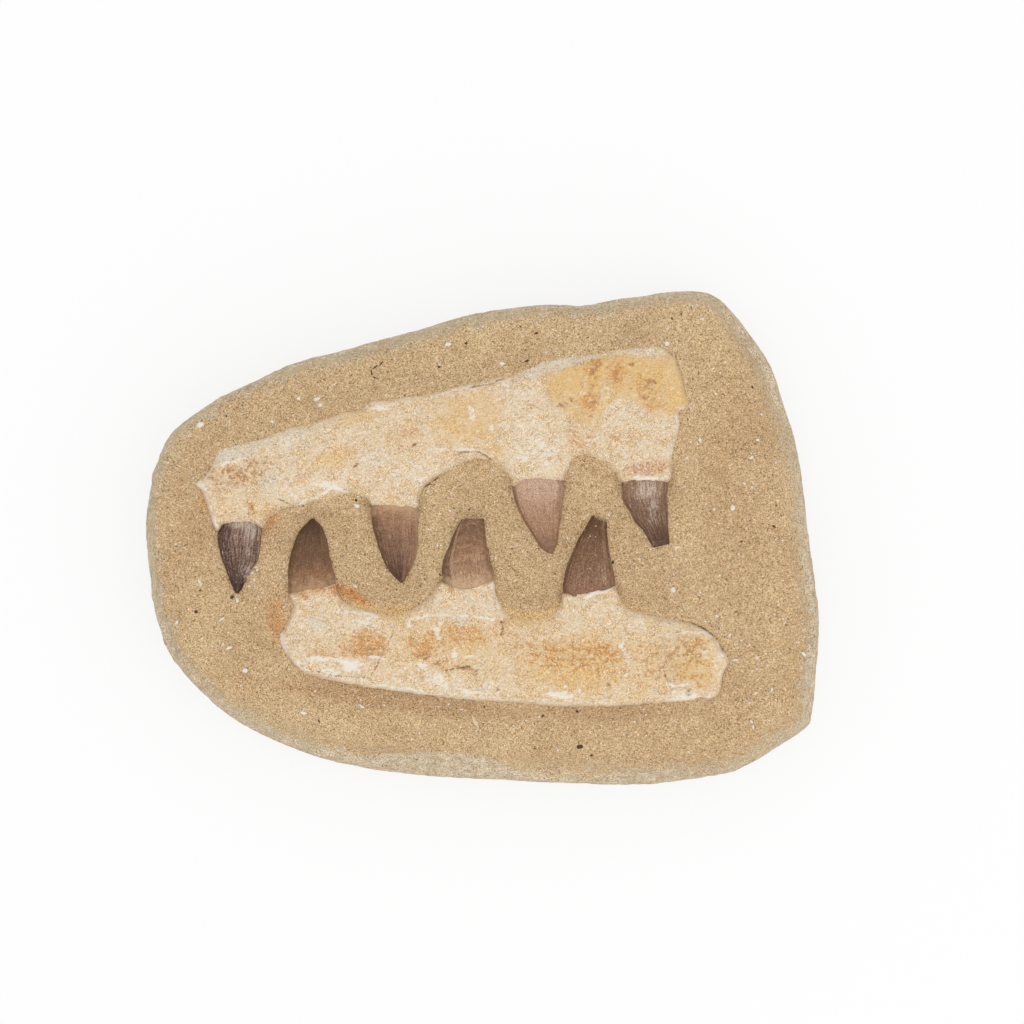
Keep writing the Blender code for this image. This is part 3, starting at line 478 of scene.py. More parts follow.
RED_MARKS = (
    (648, 468, 22, 7, 2, 0.8), (236, 478, 30, 10, 10, 0.3), (250, 508, 6, 8, 0, 0.5),
    (300, 474, 12, 8, 0, 0.35), (606, 590, 12, 4, 0, 0.5), (556, 622, 12, 8, 0, 0.3),
    (436, 655, 14, 8, 0, 0.4), (320, 590, 20, 5, 8, 0.4))
# Grey marks: those at (290, 436), (559, 363), (648, 351) and (672, 440), on the sloping faces along the upper
# bone's top edge, are painted shade; the rest are the bone's own grey
GREY_AND_SHADE_MARKS = (
    (290, 436, 30, 6, 17, 0.8), (559, 363, 46, 8, 12, 1.2), (648, 351, 20, 5, 6, 1.1),
    (268, 484, 11, 10, 0, 0.8), (376, 458, 21, 13, 0, 0.6), (461, 622, 7, 7, 0, 1.1),
    (478, 669, 6, 5, 0, 1.0), (316, 622, 11, 8, 0, 0.8), (310, 442, 18, 10, 16, 0.5),
    (672, 440, 7, 24, -4, 0.4), (366, 622, 16, 7, -5, 0.4))
BROWN_MARKS = (
    (597, 369, 3, 8, -35, 0.8), (618, 371, 2.5, 11, -6, 0.75), (589, 405, 6, 14, -15, 0.5),
    (650, 382, 5, 4, 40, 1.1), (561, 405, 6, 3, 0, 1.3), (571, 399, 2, 1.5, 0, 1.1),
    (686, 652, 22, 18, 0, 0.6), (245, 474, 38, 15, 8, 0.6), (591, 417, 2.5, 2, 0, 1.1),
    (632, 364, 3, 2, 0, 1.0), (645, 397, 4, 3, 0, 0.8), (355, 466, 1.6, 1.3, 30, 1.5),
    (414.4, 445, 1.5, 1.5, 0, 1.4), (465, 667, 12, 1.5, -10, 1.0), (436, 662, 4, 2, 0, 1.0),
    (689, 694, 2.4, 2.0, 30, 1.7), (498, 688, 1.4, 1.4, 0, 1.4), (609, 685, 1.6, 1.6, 0, 1.4),
    (474, 671, 5, 4, 0, 0.9), (424, 655, 8, 4, 0, 0.8), (372, 650, 12, 6, 0, 0.6),
    (665, 662, 30, 26, 0, 0.5), (575, 655, 40, 12, -5, 0.45))
BONE_MARKS = {"ochre": OCHRE_MARKS, "orange": ORANGE_MARKS, "pale": PALE_AND_HIGHLIGHT_MARKS, "red": RED_MARKS,
              "brown": BROWN_MARKS, "grey_and_shade": GREY_AND_SHADE_MARKS}
# The greyish sloping face at the upper bone's left end, as an outline; its grey is partly painted shade
SHADED_GREY_FACE = ((212, 466), (219, 448), (243, 441), (270, 433), (266, 444), (250, 455.5), (235, 461))
# Lines on the bones by photo pixel: pale seams and broken edges, then dark cracks
WHITE_LINES = (
    ((334, 611.7), (354, 611.7), (368, 613.3), (377, 617)),
    ((409, 628), (409, 621), (412, 618.6), (423, 616.3), (435, 614.8), (461, 615.6), (480, 617),
     (495, 619.4)),
    ((493.5, 584), (495, 593), (499, 608)), ((469.5, 407), (470.5, 413), (471.5, 419)),
    ((473, 409), (474.5, 420)), ((666, 636), (685, 631.5), (703, 631.5), (715, 639)),
    ((205, 489), (209, 503), (213, 517), (216.5, 527)), ((296, 507), (303, 502), (318, 497), (330, 489)),
    ((631, 479), (645, 478), (657, 478.5)), ((315, 484), (330, 487), (341, 490)),
    ((312, 662), (330, 658), (345, 662), (358, 669)), ((548, 693), (560, 697), (572, 697), (580, 690)),
    ((664, 682), (674, 686), (688, 684)), ((672, 692), (682, 691), (694, 696)),
    ((214, 465), (235, 461.5), (250, 455.5)), ((585, 597.5), (596, 595), (609, 590.5)))
DARK_CRACKS = (
    ((279, 499), (287, 503), (294, 506.5)), ((688, 695), (691, 694)), ((608.5, 685), (610, 685)),
    ((497, 688), (499, 688)), ((354, 467), (356, 465.5)), ((414, 445), (415.2, 445)),
    ((470, 387.5), (491.6, 383.5), (505, 377.5)),
    ((455, 454), (464, 452), (479, 452), (486, 455.5), (491, 459.5)), ((501, 621), (503, 629), (501, 636)),
    ((446, 670), (458, 668), (470, 666)))
FAINT_CRACKS = (
    ((323, 674), (350, 677), (369.5, 677.7), (376.6, 667), (383.7, 651), (394, 631.5)),
    ((300, 665), (316, 671), (331, 675.5)), ((415, 664), (424, 672), (421, 682)),
    ((668, 655), (663, 668), (668, 684)))
FAINTNESS = 0.14            # faint cracks are coloured as if they lay this much further away
LINE_FORMS = ((WHITE_LINES, 0.2, 0.5), (DARK_CRACKS, -0.4, 0.4))    # how high each stands, and half width
LINE_REACH = 3.0            # distance from a line beyond which it isn't measured

# Loose-looking bits set in the rock's top by photo pixel: centre, half sizes, turn, tone from 0 for shell
# through 0.4 for straw to 1 for dark grit, some of them dark slivers along the bones that are partly painted
# shadow
NAMED_BITS = (
    (199.5, 425, 5.2, 3.4, 20, 0.0), (316.5, 399, 3.4, 2.2, 10, 0.0), (298.5, 398.5, 2.6, 2.0, 40, 0.0),
    (320, 405, 2.8, 2.2, 70, 0.0), (272.5, 421.5, 2.2, 1.6, 0, 0.0), (357, 506, 3.4, 2.4, -30, 0.05),
    (237, 600, 1.6, 3.0, 10, 0.0), (475, 722, 1.7, 9.5, 26, 0.33), (580, 747, 3.6, 2.6, 20, 1.0),
    (592, 756, 1.8, 1.5, 0, 1.0), (232, 597, 2.2, 2.0, 0, 1.0), (375, 367, 0.8, 3.8, -50, 1.0),
    (371.5, 372, 0.8, 3.6, 8, 1.0), (381, 363.5, 0.7, 3.2, -40, 1.0), (375, 377.5, 0.6, 3.4, 68, 0.95),
    # The thin dark slivers at (427.5, 485.5) and (436, 479.5), and the three along the lower jaw's upper
    # right edge from (692, 622.6) to (711, 633.5), are dark lines between bone and rock: partly cracks,
    # partly painted shadow
    (427.5, 485.5, 0.7, 4.5, -55, 0.95), (436, 479.5, 0.6, 4.0, -55, 0.9),
    (692, 622.6, 6.0, 0.45, -22, 0.8), (703.5, 628.2, 6.0, 0.5, -31, 0.85),
    (711, 633.5, 3.5, 0.45, -38, 0.85), (226, 416, 1.2, 1.2, 0, 1.0), (439, 367, 2.0, 1.2, 0, 1.0),
    (448, 344, 3.2, 2.4, 30, 0.0), (502, 364, 3.0, 2.2, 0, 0.0), (527, 361, 2.2, 1.2, 20, 0.9),
    (466, 343, 1.6, 1.2, 0, 1.0), (667, 344, 3.0, 2.2, -30, 0.0), (613, 562, 1.2, 2.2, 0, 0.9),
    (733, 508, 3.4, 2.6, 60, 0.0), (758, 440, 2.2, 1.4, 0, 0.0), (700, 440, 1.6, 2.6, 20, 0.0),
    (303, 713, 3.8, 1.8, -10, 0.0), (245, 671, 3.4, 2.8, 30, 0.05), (229, 648, 3.6, 1.8, 30, 0.0),
    (222, 619, 3.8, 1.2, 40, 0.0), (200, 583, 1.2, 4.0, 20, 0.0), (361, 706, 4.2, 1.2, -35, 0.1),
    (196, 612, 1.8, 1.8, 0, 0.9), (440, 575, 1.6, 1.0, 0, 1.0), (640, 515, 2.0, 1.2, 0, 0.0),
    (717, 616, 3.0, 1.2, -40, 0.0), (735, 660, 4.2, 1.0, 5, 0.05), (772, 690, 2.6, 1.6, 60, 0.0),
    (805, 655, 3.8, 1.8, -50, 0.0), (673, 590, 3.0, 3.0, 0, 0.05), (252, 573, 2.2, 1.6, 20, 0.1),
    (254, 580, 1.8, 1.4, 60, 0.05), (249, 586, 2.0, 1.4, 0, 0.1), (256, 567, 1.8, 1.2, 30, 0.1))
LOOSE_BITS = 260            # further small ones, placed at random
BIT_SIDES = 7
BIT_RISE = 0.22             # how far a bit stands out of the rock, and how deep its foot lies
BIT_DEPTH = 0.8
BIT_GAP = 1.2               # room between a bit and the bones and teeth
BIT_TONES = (0.0, 0.1, 0.5, 1.0)            # with their shares of the random bits
TONE_SHARES = (0.62, 0.13, 0.1, 0.15)


def albedo(colour):
    """The linear surface colour that the studio light shows as an sRGB colour."""
    linear = []
    for value in colour:
        share = value / 255
        linear.append(share / 12.92 if share < 0.04045 else ((share + 0.055) / 1.055) ** 2.4)
    return tuple(value / LIGHT for value in linear) + (1.0,)


def smooth_step(low, high, value):
    share = np.clip((value - low) / (high - low), 0.0, 1.0)
    return share * share * (3 - 2 * share)


def lattice(corner, seed):
    """A number from 0 to 1 for each integer corner, the same in every run."""
    mixed = (corner[..., 0] * 374761393 + corner[..., 1] * 668265263 + corner[..., 2] * 1274126177
             + seed * 974634777) & 0xFFFFFFFF
    mixed = ((mixed ^ (mixed >> 13)) * 1103515245) & 0xFFFFFFFF
    mixed = ((mixed ^ (mixed >> 15)) * 747796405) & 0xFFFFFFFF
    return (mixed ^ (mixed >> 16)) / 0xFFFFFFFF


def value_noise(points, size, seed):
    """Smooth noise from -1 to 1 with lumps of a size, which is one number or one for each axis."""
    scaled = points / np.array(size)
    corner = np.floor(scaled).astype(np.int64)
    share = scaled - corner
    share = share * share * (3 - 2 * share)
    total = np.zeros(points.shape[:-1])
    for step in np.ndindex(2, 2, 2):
        weight = np.prod(np.where(step, share, 1 - share), axis=-1)
        total += weight * lattice(corner + step, seed)
    return total * 2 - 1


def fractal(points, size, octaves, seed):
    """Noise of several sizes, each half as large and half as strong as the one before."""
    total = 0.0
    strength = 1.0
    size = np.array(size, float)
    for octave in range(octaves):
        total = total + strength * value_noise(points + 17.3 * octave, size, seed + octave)
        strength /= 2
        size = size / 2.03
    return total / (2 - 2 * strength)


def layered(points, layers, seed=0):
    """Layers of noise added up."""
    return sum(height * fractal(points, size, octaves, seed + own) for height, size, octaves, own in layers)


def wavering(pixels, points, reach, size, octaves, seed):
    """Photo pixels moved about by noise over their points, which gives marks uneven edges."""
    shifts = [fractal(points, size, octaves, seed + axis) for axis in range(2)]
    return pixels + reach * np.stack(shifts, axis=-1)


def flat_points(points):
    """The same points with a third coordinate of zero, for noise over a plane."""
    return np.concatenate([points, np.zeros(points.shape[:-1] + (1,))], axis=-1)


def on_photo(points):
    """The photo pixels that show points of the relief."""
    worth = PIXEL * (CAMERA_HEIGHT - BONE_EDGE_TOP) / PIXEL_DISTANCE
    return np.stack([PHOTO_MIDDLE + (points[..., 0] - VIEW_MIDDLE[0]) / worth,
                     PHOTO_MIDDLE - (points[..., 1] - VIEW_MIDDLE[1]) / worth], axis=-1)


def from_photo(pixels, level):
    """The points at a level that photo pixels show."""
    worth = PIXEL * (CAMERA_HEIGHT - level) / PIXEL_DISTANCE
    pixels = np.array(pixels, float)
    return np.stack([VIEW_MIDDLE[0] + (pixels[..., 0] - PHOTO_MIDDLE) * worth,
                     VIEW_MIDDLE[1] - (pixels[..., 1] - PHOTO_MIDDLE) * worth], axis=-1)


def smooth_line(points, closed=False):
    """Many points on the smooth curve through a few."""
    points = np.array(points, float)
    count = len(points) if closed else len(points) - 1
    share = np.arange(CURVE_STEPS)[:, None] / CURVE_STEPS
    fine = []
    for index in range(count):
        near = np.arange(index - 1, index + 3)
        near = near % len(points) if closed else np.clip(near, 0, count)
        a, b, c, d = points[near]
        fine.append(0.5 * (2 * b + (c - a) * share + (2 * a - 5 * b + 4 * c - d) * share ** 2
                           + (3 * b - a - 3 * c + d) * share ** 3))
    if not closed:
        fine.append(points[-1:])
    return np.concatenate(fine)


def evenly(line, shares):
    """Points of an open line at shares of its length."""
    steps = np.hypot(*np.diff(line[:, :2], axis=0).T)
    lengths = np.concatenate([[0.0], np.cumsum(steps)])
    wanted = np.array(shares) * lengths[-1]
    return np.stack([np.interp(wanted, lengths, column) for column in line.T], axis=-1)


def rim_loop(sides, cells):
    """The rim as one closed clockwise loop: along the top, down the right, back and up the left."""
    loop = np.array([point for side in sides for point in side])
    fine = smooth_line(loop, closed=True)
    fine = np.concatenate([fine, fine[:1]])
    rim = []
    first = 0
    for side, count in zip(sides, (cells[0], cells[1], cells[0], cells[1])):
        last = first + len(side)
        stretch = fine[first * CURVE_STEPS:last * CURVE_STEPS + 1]
        rim.append(evenly(stretch, np.arange(count) / count))
        first = last
    return np.concatenate(rim)


def inward(rim, reach):
    """Unit directions in from each point of a clockwise rim, square to its run between two neighbours."""
    along = np.roll(rim, -reach, 0)[:, :2] - np.roll(rim, reach, 0)[:, :2]
    along /= np.hypot(*along.T)[:, None]
    return np.stack([along[:, 1], -along[:, 0]], axis=-1)


def coons_patch(rim, cells):
    """A grid of points filling the rim, as rows from the top side to the bottom side."""
    across, down = cells
    top = rim[:across + 1]
    right = rim[across:across + down + 1]
    bottom = rim[across + down:2 * across + down + 1][::-1]
    left = np.concatenate([rim[2 * across + down:], rim[:1]])[::-1]
    u = np.linspace(0, 1, across + 1)[None, :, None]
    v = np.linspace(0, 1, down + 1)[:, None, None]
    return ((1 - v) * top[None] + v * bottom[None] + (1 - u) * left[:, None] + u * right[:, None]
            - (1 - u) * (1 - v) * top[0] - u * (1 - v) * top[-1]
            - (1 - u) * v * bottom[0] - u * v * bottom[-1])


def in_parts(work, points, size=3000):
    """Runs a function over many points a part at a time, to save memory."""
    flat = points.reshape(-1, points.shape[-1])
    parts = [work(flat[first:first + size]) for first in range(0, len(flat), size)]
    return np.concatenate(parts).reshape(points.shape[:-1])


def distance_to(line, points, closed=True):
    """How far points are from the nearest stretch of a line."""
    starts = np.array(line, float)[:, :2]
    ends = np.roll(starts, -1, 0)
    if not closed:
        starts, ends = starts[:-1], ends[:-1]
    run = ends - starts
    square = (run ** 2).sum(1)

    def nearest(part):
        gap_x = part[:, :1] - starts[:, 0]
        gap_y = part[:, 1:2] - starts[:, 1]
        share = np.clip((gap_x * run[:, 0] + gap_y * run[:, 1]) / square, 0.0, 1.0)
        gap_x -= share * run[:, 0]
        gap_y -= share * run[:, 1]
        return np.sqrt((gap_x * gap_x + gap_y * gap_y).min(1))
    return in_parts(nearest, points[..., :2])


def inside(line, points):
    """Whether points lie within a closed line."""
    starts = np.array(line, float)[:, :2]
    run = np.roll(starts, -1, 0) - starts
    rise = np.where(run[:, 1] == 0, 1e-9, run[:, 1])

    def counted(part):
        x = part[:, :1]
        y = part[:, 1:2]
        crossed = (starts[:, 1] > y) != (starts[:, 1] + run[:, 1] > y)
        return (crossed & (x < starts[:, 0] + (y - starts[:, 1]) * run[:, 0] / rise)).sum(1) % 2 == 1
    return in_parts(counted, points[..., :2])


def signed_distance(line, points):
    """Distance to a closed line, below zero inside it."""
    return np.where(inside(line, points), -1, 1) * distance_to(line, points)


def within_reach(measure, line, points, reach):
    """A distance to a line where it is less than a reach, and the reach elsewhere."""
    line = np.array(line, float)[:, :2]
    flat = points[..., :2]
    near = ((flat > line.min(0) - reach) & (flat < line.max(0) + reach)).all(-1)
    found = np.full(near.shape, float(reach))
    if near.any():
        found[near] = np.minimum(measure(line, flat[near]), reach)
    return found


def open_distance(line, points):
    return distance_to(line, points, False)


def line_distances(lines, points):
    """Distances to each of several lines on the bones."""
    lines = [from_photo(line, BONE_EDGE_TOP) for line in lines]
    return [within_reach(open_distance, line, points, LINE_REACH) for line in lines]


def marks_at(marks, pixels):
    """The strongest of several marks at each place.  A mark has a centre, half sizes, tilt and strength."""
    best = np.zeros(pixels.shape[:-1])
    for x, y, half_x, half_y, tilt, strength in marks:
        turn = math.radians(tilt)
        dx = pixels[..., 0] - x
        dy = y - pixels[..., 1]
        along = (dx * math.cos(turn) + dy * math.sin(turn)) / half_x
        across = (dy * math.cos(turn) - dx * math.sin(turn)) / half_y
        best = np.maximum(best, strength * np.exp(-((along ** 2 + across ** 2) / 1.4) ** 1.5))
    return best


def grid_faces(index):
    """Quads between the rows and columns of a grid of vertex numbers."""
    return np.stack([index[:-1, :-1], index[1:, :-1], index[1:, 1:], index[:-1, 1:]], axis=-1).reshape(-1, 4)


def wall_faces(levels, count):
    """Quads between rings of points, numbered from the lowest ring up."""
    around = np.arange(levels * count).reshape(levels, count)
    around = np.concatenate([around, around[:, :1]], axis=1)
    return grid_faces(around)


def relief_mesh(rings, grid, cells):
    """Points and quads of a body of rings from its underside up, closed above by a grid."""
    across, down = cells
    levels, count = rings.shape[:2]
    index = np.zeros((down + 1, across + 1), int)
    edge = (levels - 1) * count + np.arange(count)
    index[0, :] = edge[:across + 1]
    index[:, across] = edge[across:across + down + 1]
    index[down, ::-1] = edge[across + down:2 * across + down + 1]
    index[:0:-1, 0] = edge[2 * across + down:]
    inner = grid[1:-1, 1:-1].reshape(-1, 3)
    index[1:-1, 1:-1] = levels * count + np.arange(len(inner)).reshape(down - 1, across - 1)
    points = np.concatenate([rings.reshape(-1, 3), inner])
    return points, np.concatenate([wall_faces(levels, count), grid_faces(index)])


def fill_outline(rim, spacing):
    """Points and triangles that fill a closed rim: the rim's own points first, then even ones inside."""
    low = rim.min(0)
    high = rim.max(0)
    x, y = np.meshgrid(np.arange(low[0], high[0], spacing), np.arange(low[1], high[1], spacing * 0.87))
    x[1::2] += spacing / 2
    inner = np.column_stack([x.ravel(), y.ravel()])
    inner = inner[inside(rim, inner)]
    inner = inner[distance_to(rim[::2], inner) > 0.55 * spacing]
    points = np.concatenate([rim, inner])
    edges = [(index, (index + 1) % len(rim)) for index in range(len(rim))]
    _, _, triangles, sources, _, _ = delaunay_2d_cdt([Vector(point) for point in points], edges, [], 1, 1e-6)
    sources = np.array([source[0] for source in sources])
    return points, sources[np.array(triangles)]


def vertex_normals(points, faces):
    """Unit normals at each point of a mesh of quads."""
    corners = points[faces]
    face = np.cross(corners[:, 2] - corners[:, 0], corners[:, 3] - corners[:, 1])
    normals = np.zeros(points.shape)
    for column in range(4):
        np.add.at(normals, faces[:, column], face)
    return normals / np.maximum(np.linalg.norm(normals, axis=1), 1e-9)[:, None]


def soften(points, faces, weight, rounds):
    """Rounds off a mesh of quads as far as each point's weight, from 0 to 1, allows."""
    ends = np.concatenate([faces[:, [first, (first + 1) % 4]] for first in range(4)])
    count = np.maximum(np.bincount(ends[:, 0], minlength=len(points)), 1)
    for _ in range(rounds):
        total = [np.bincount(ends[:, 0], points[ends[:, 1], axis], len(points)) for axis in range(3)]
        points = points + (0.5 * weight)[:, None] * (np.stack(total, axis=-1) / count[:, None] - points)
    return points


def trough(points):
    """Depth of the hollow carved between the jaws, which fades out at both ends."""
    left, right = TROUGH_ENDS
    x = points[..., 0]
    along = smooth_step(left, left + TROUGH_END_REACH, x)
    along = along * (1 - smooth_step(right - TROUGH_END_REACH, right, x))
    return TROUGH_DEPTH * along * np.exp(-(points[..., 1] / TROUGH_HALF_WIDTH) ** 4)


def side_roughness(share, height):
    """How far the slab's side is worn in, as in the solid, with less of it near the top."""
    wear = np.zeros(np.broadcast(share, height).shape)
    for lobes, depth, phase in SLAB_WAVES:
        wear += depth * np.sin(2 * math.pi * lobes * share + phase + height / WAVE_SHEAR)
    for centre, level, half_share, half_height, depth in SLAB_SCOOPS:
        reach = np.hypot((share - centre) / half_share, (height - level) / half_height)
        wear += depth * (1 - smooth_step(0.3, 1.0, reach))
    calm = smooth_step(0.0, SLAB_CALM, np.abs(height - SLAB_WIDEST))
    return wear * (calm * smooth_step(WEAR_ENDS, WEAR_FADES, height))


class Relief:
    """The outlines that the rock and the bones share."""

    def __init__(self):
        self.slab = rim_loop((SLAB_TOP, SLAB_RIGHT, SLAB_BOTTOM, SLAB_LEFT), SLAB_CELLS)
        self.shoulders = self.slab[:, 2:]
        self.directions = inward(self.slab, SLAB_STEP)
        self.shoulder = self.slab[:, :2] + self.directions * self.shoulders
        middle = (self.slab[:, :2].min(0) + self.slab[:, :2].max(0)) / 2
        self.middle = np.array([middle[0], middle[1], 0.0])
        self.bones = {name: self.bone_rim(*outline) for name, outline in BONE_OUTLINES.items()}
        self.teeth = {name: tooth_edges(*edges[:2]) for name, edges in TEETH.items()}

    def bone_rim(self, outline, seed):
        """A bone's outline as evenly spaced points, with the small breaks of its edge."""
        fine = smooth_line(from_photo(outline, BONE_RIM_HEIGHT), closed=True)
        fine = np.concatenate([fine, fine[:1]])
        count = round(np.hypot(*np.diff(fine, axis=0).T).sum() / BONE_SPACING)
        rim = evenly(fine, np.arange(count) / count)
        ragged = layered(flat_points(rim), BONE_RIM_NOISE, seed)
        return rim + inward(rim, 3) * ragged[:, None]

    def tooth_outline(self, name):
        left, right = self.teeth[name]
        return np.concatenate([left[TOOTH_ROOT_STATIONS::4], right[:TOOTH_ROOT_STATIONS:-4]])

    def tooth_gap(self, points):
        """Distance to the nearest tooth, as far as it matters here."""
        outlines = [self.tooth_outline(name) for name in self.teeth]
        return np.min([within_reach(signed_distance, line, points, SEAT_FAR) for line in outlines], axis=0)

    def seat(self, points):
        """The height at which rock and bone meet: higher in the arches, and low beside the teeth."""
        rise = marks_at(SEAT_RISES, on_photo(points))
        return BONE_SEAT + rise * smooth_step(SEAT_NEAR, SEAT_FAR, self.tooth_gap(points))

    def rock_height(self, points):
        """The rock's upper face: a low dome with the trough and waves, fitted to the bones and teeth."""
        x = points[..., 0]
        y = points[..., 1]
        edge = ROCK_EDGE_FALL * np.exp(-distance_to(self.shoulder[::4], points) / ROCK_EDGE_REACH * 2)
        waves = ROCK_SWELL * np.sin(x / 17 + 1) * np.sin(y / 13 + 2) + ROCK_RIPPLE * np.sin(x / 7 + y / 9)
        rough = layered(flat_points(points), ROCK_TOP_NOISE)
        height = ROCK_TOP - edge - trough(points) + waves + rough
        seat = self.seat(points) + SEAT_COVER
        for rim in self.bones.values():
            gap = within_reach(signed_distance, rim[::4], points, 6 * SEAT_REACH)
            reach = SEAT_REACH + SEAT_SPREAD * (seat - BONE_SEAT)
            fit = np.exp(-(np.maximum(gap, 0) / reach) ** 2)
            height = height + (seat - height) * fit - BED_DEPTH * smooth_step(0.5, 2.5, -gap)
        lift = np.exp(-(np.maximum(self.tooth_gap(points), 0) / TOOTH_SEAT_REACH) ** 2)
        return height + (TOOTH_AXIS + TOOTH_BEDDING - height) * lift


def tooth_edges(left, right):
    """Left and right edge points of a tooth at even shares of its length, with its root before them."""
    shares = np.linspace(0, 1, TOOTH_STATIONS)
    left, right = (evenly(smooth_line(from_photo(edge, TOOTH_AXIS)), shares) for edge in (left, right))
    for edge in (left, right):
        breaks = TOOTH_EDGE + marks_at(TOOTH_BREAKS, on_photo(edge))
        edge[:, 0] += breaks * fractal(flat_points(edge), *TOOTH_EDGE_NOISE)
    back = (left[0] + right[0]) - (left[-1] + right[-1])
    back *= ROOT_DEPTH / np.hypot(*back)
    across = (right[0] - left[0]) / np.hypot(*(right[0] - left[0])) * ROOT_NARROWING
    root = np.linspace(1, 0, TOOTH_ROOT_STATIONS, endpoint=False)[:, None]
    return (np.concatenate([left[0] + (back + across) * root, left]),
            np.concatenate([right[0] + (back - across) * root, right]))


def placed(name, data):
    """An object in the scene for a mesh, a lamp or a camera."""
    thing = bpy.data.objects.new(name, data)
    bpy.context.scene.collection.objects.link(thing)
    return thing


def new_piece(name, points, faces, middle, masks, material, nodes):
    """A smooth mesh object from millimetre points, with its masks, material and place in the frame."""
    mesh = bpy.data.meshes.new(name)
    mesh.from_pydata(((points - middle) * MM).tolist(), [], faces)
    mesh.update()
    for mask, values in masks.items():
        attribute = mesh.attributes.new(mask, "FLOAT", "POINT")
        attribute.data.foreach_set("value", np.asarray(values, np.float32).ravel())
    mesh.shade_smooth()
    mesh.materials.append(material)
    piece = placed(name, mesh)
    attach(piece, "root")
    if nodes:
        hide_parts(*nodes)


class Paint:
    """A material's nodes.  Each method adds one or a few and gives the socket to use next."""

    def __init__(self, name, **constants):
        self.material = bpy.data.materials.new(name)
        self.material.use_nodes = True
        self.nodes = self.material.node_tree.nodes
        self.links = self.material.node_tree.links
        self.shader = self.nodes["Principled BSDF"]
        for socket, value in constants.items():
            self.shader.inputs[socket.replace("_", " ")].default_value = value
        place = self.nodes.new("ShaderNodeTexCoord").outputs["Object"]
        self.place = self.add("VectorMath", {0: place, "Scale": 1 / MM}, operation="SCALE").outputs[0]

    def add(self, kind, inputs, **settings):
        node = self.nodes.new("ShaderNode" + kind)
        for setting, value in settings.items():
            setattr(node, setting, value)
        for socket, value in inputs.items():
            if isinstance(value, bpy.types.NodeSocket):
                self.links.new(value, node.inputs[socket])
            else:
                node.inputs[socket].default_value = value
        return node

    def mask(self, name):
        return self.add("Attribute", {}, attribute_name=name).outputs["Fac"]

    def stretched(self, sizes, tilt):
        """The place in the material, turned by a tilt and then drawn out along each axis."""
        turned = self.add("VectorRotate", {"Vector": self.place, "Angle": math.radians(-tilt)},
                          rotation_type="Z_AXIS").outputs[0]
        return self.add("VectorMath", {0: turned, 1: [1 / size for size in sizes]},
                        operation="MULTIPLY").outputs[0]

    def noise(self, size, detail, roughness=0.55, place=None):
        return self.add("TexNoise", {"Vector": place or self.place, "Scale": 1 / size, "Detail": detail,
                                     "Roughness": roughness}).outputs["Fac"]

    def cells(self, size, place=None):
        return self.add("TexVoronoi", {"Vector": place or self.place, "Scale": 1 / size})

    def maths(self, operation, *values):
        return self.add("Math", dict(enumerate(values)), operation=operation).outputs[0]

    def ramp(self, value, low, high, start=0.0, end=1.0):
        """A smooth step from start to end as a value goes from low to high."""
        return self.add("MapRange", {"Value": value, "From Min": low, "From Max": high, "To Min": start,
                                     "To Max": end}, interpolation_type="SMOOTHSTEP").outputs[0]

    def uneven(self, value, noise, share):
        """A value with noise, which is around a half, added to it."""
        return self.maths("MULTIPLY_ADD", self.maths("SUBTRACT", noise, 0.5), share, value)

    def broken(self, mask, noise, low, high, share):
        """A mask whose edge is broken up by noise."""
        return self.ramp(self.uneven(mask, noise, share), low, high)

    def blend(self, amount, under, over):
        colours = {6: under, 7: over}
        for socket, colour in colours.items():
            if not isinstance(colour, bpy.types.NodeSocket):
                colours[socket] = albedo(colour)
        return self.add("Mix", {0: amount, **colours}, data_type="RGBA").outputs[2]

    def cover(self, colour, tint, amount, *shares):
        """A colour covered with a tint by an amount times each of the shares."""
        for share in shares:
            amount = self.maths("MULTIPLY", amount, share)
        return self.blend(amount, colour, tint)

    def tinted(self, colour, tint, value, low, high, most=1.0):
        """A colour that goes over to a tint, at most so far, as a value goes from low to high."""
        return self.blend(self.ramp(value, low, high, 0.0, most), colour, tint)

    def times(self, amount, colour, factors):
        """A colour multiplied by a factor for each of its channels, as far as an amount."""
        return self.add("Mix", {0: amount, 6: colour, 7: (*factors, 1.0)}, data_type="RGBA",
                        blend_type="MULTIPLY").outputs[2]

    def random_of(self, cells):
        """One random number for each cell."""
        return self.add("SeparateColor", {0: cells.outputs["Color"]}).outputs[0]

    def spots(self, colour, tint, size, share, most, strength, stretch=None, tilt=0.0):
        """Round spots in some of the cells: the share that has any, and the most that one can measure."""
        cells = self.cells(size, self.stretched(stretch, tilt) if stretch else None)
        width = self.ramp(self.random_of(cells), 1 - share, 1.0, 0.0, most)
        spot = self.ramp(self.maths("SUBTRACT", cells.outputs["Distance"], width), 0.02, -0.02)
        return self.cover(colour, tint, spot, self.ramp(width, 0.01, 0.04, 0.0, strength))

    def grained(self, colour, size, share, darker, paler, amount=1.0):
        """Grains of their own tone: a share of them darker and as many paler, by factors for each channel."""
        tone = self.random_of(self.cells(size))
        for low, high, factors in ((1 - share, 1.0, darker), (share, 0.0, paler)):
            colour = self.times(self.maths("MULTIPLY", self.ramp(tone, low, high), amount), colour, factors)
        return colour

    def finish(self, colour, roughness, height, depth):
        """Joins up colour, roughness and a bump whose height is worth a depth in millimetres."""
        bump = self.add("Bump", {"Height": height, "Distance": depth * MM, "Strength": 1.0})
        self.links.new(colour, self.shader.inputs["Base Color"])
        self.links.new(roughness, self.shader.inputs["Roughness"])
        self.links.new(bump.outputs[0], self.shader.inputs["Normal"])
        return self.material


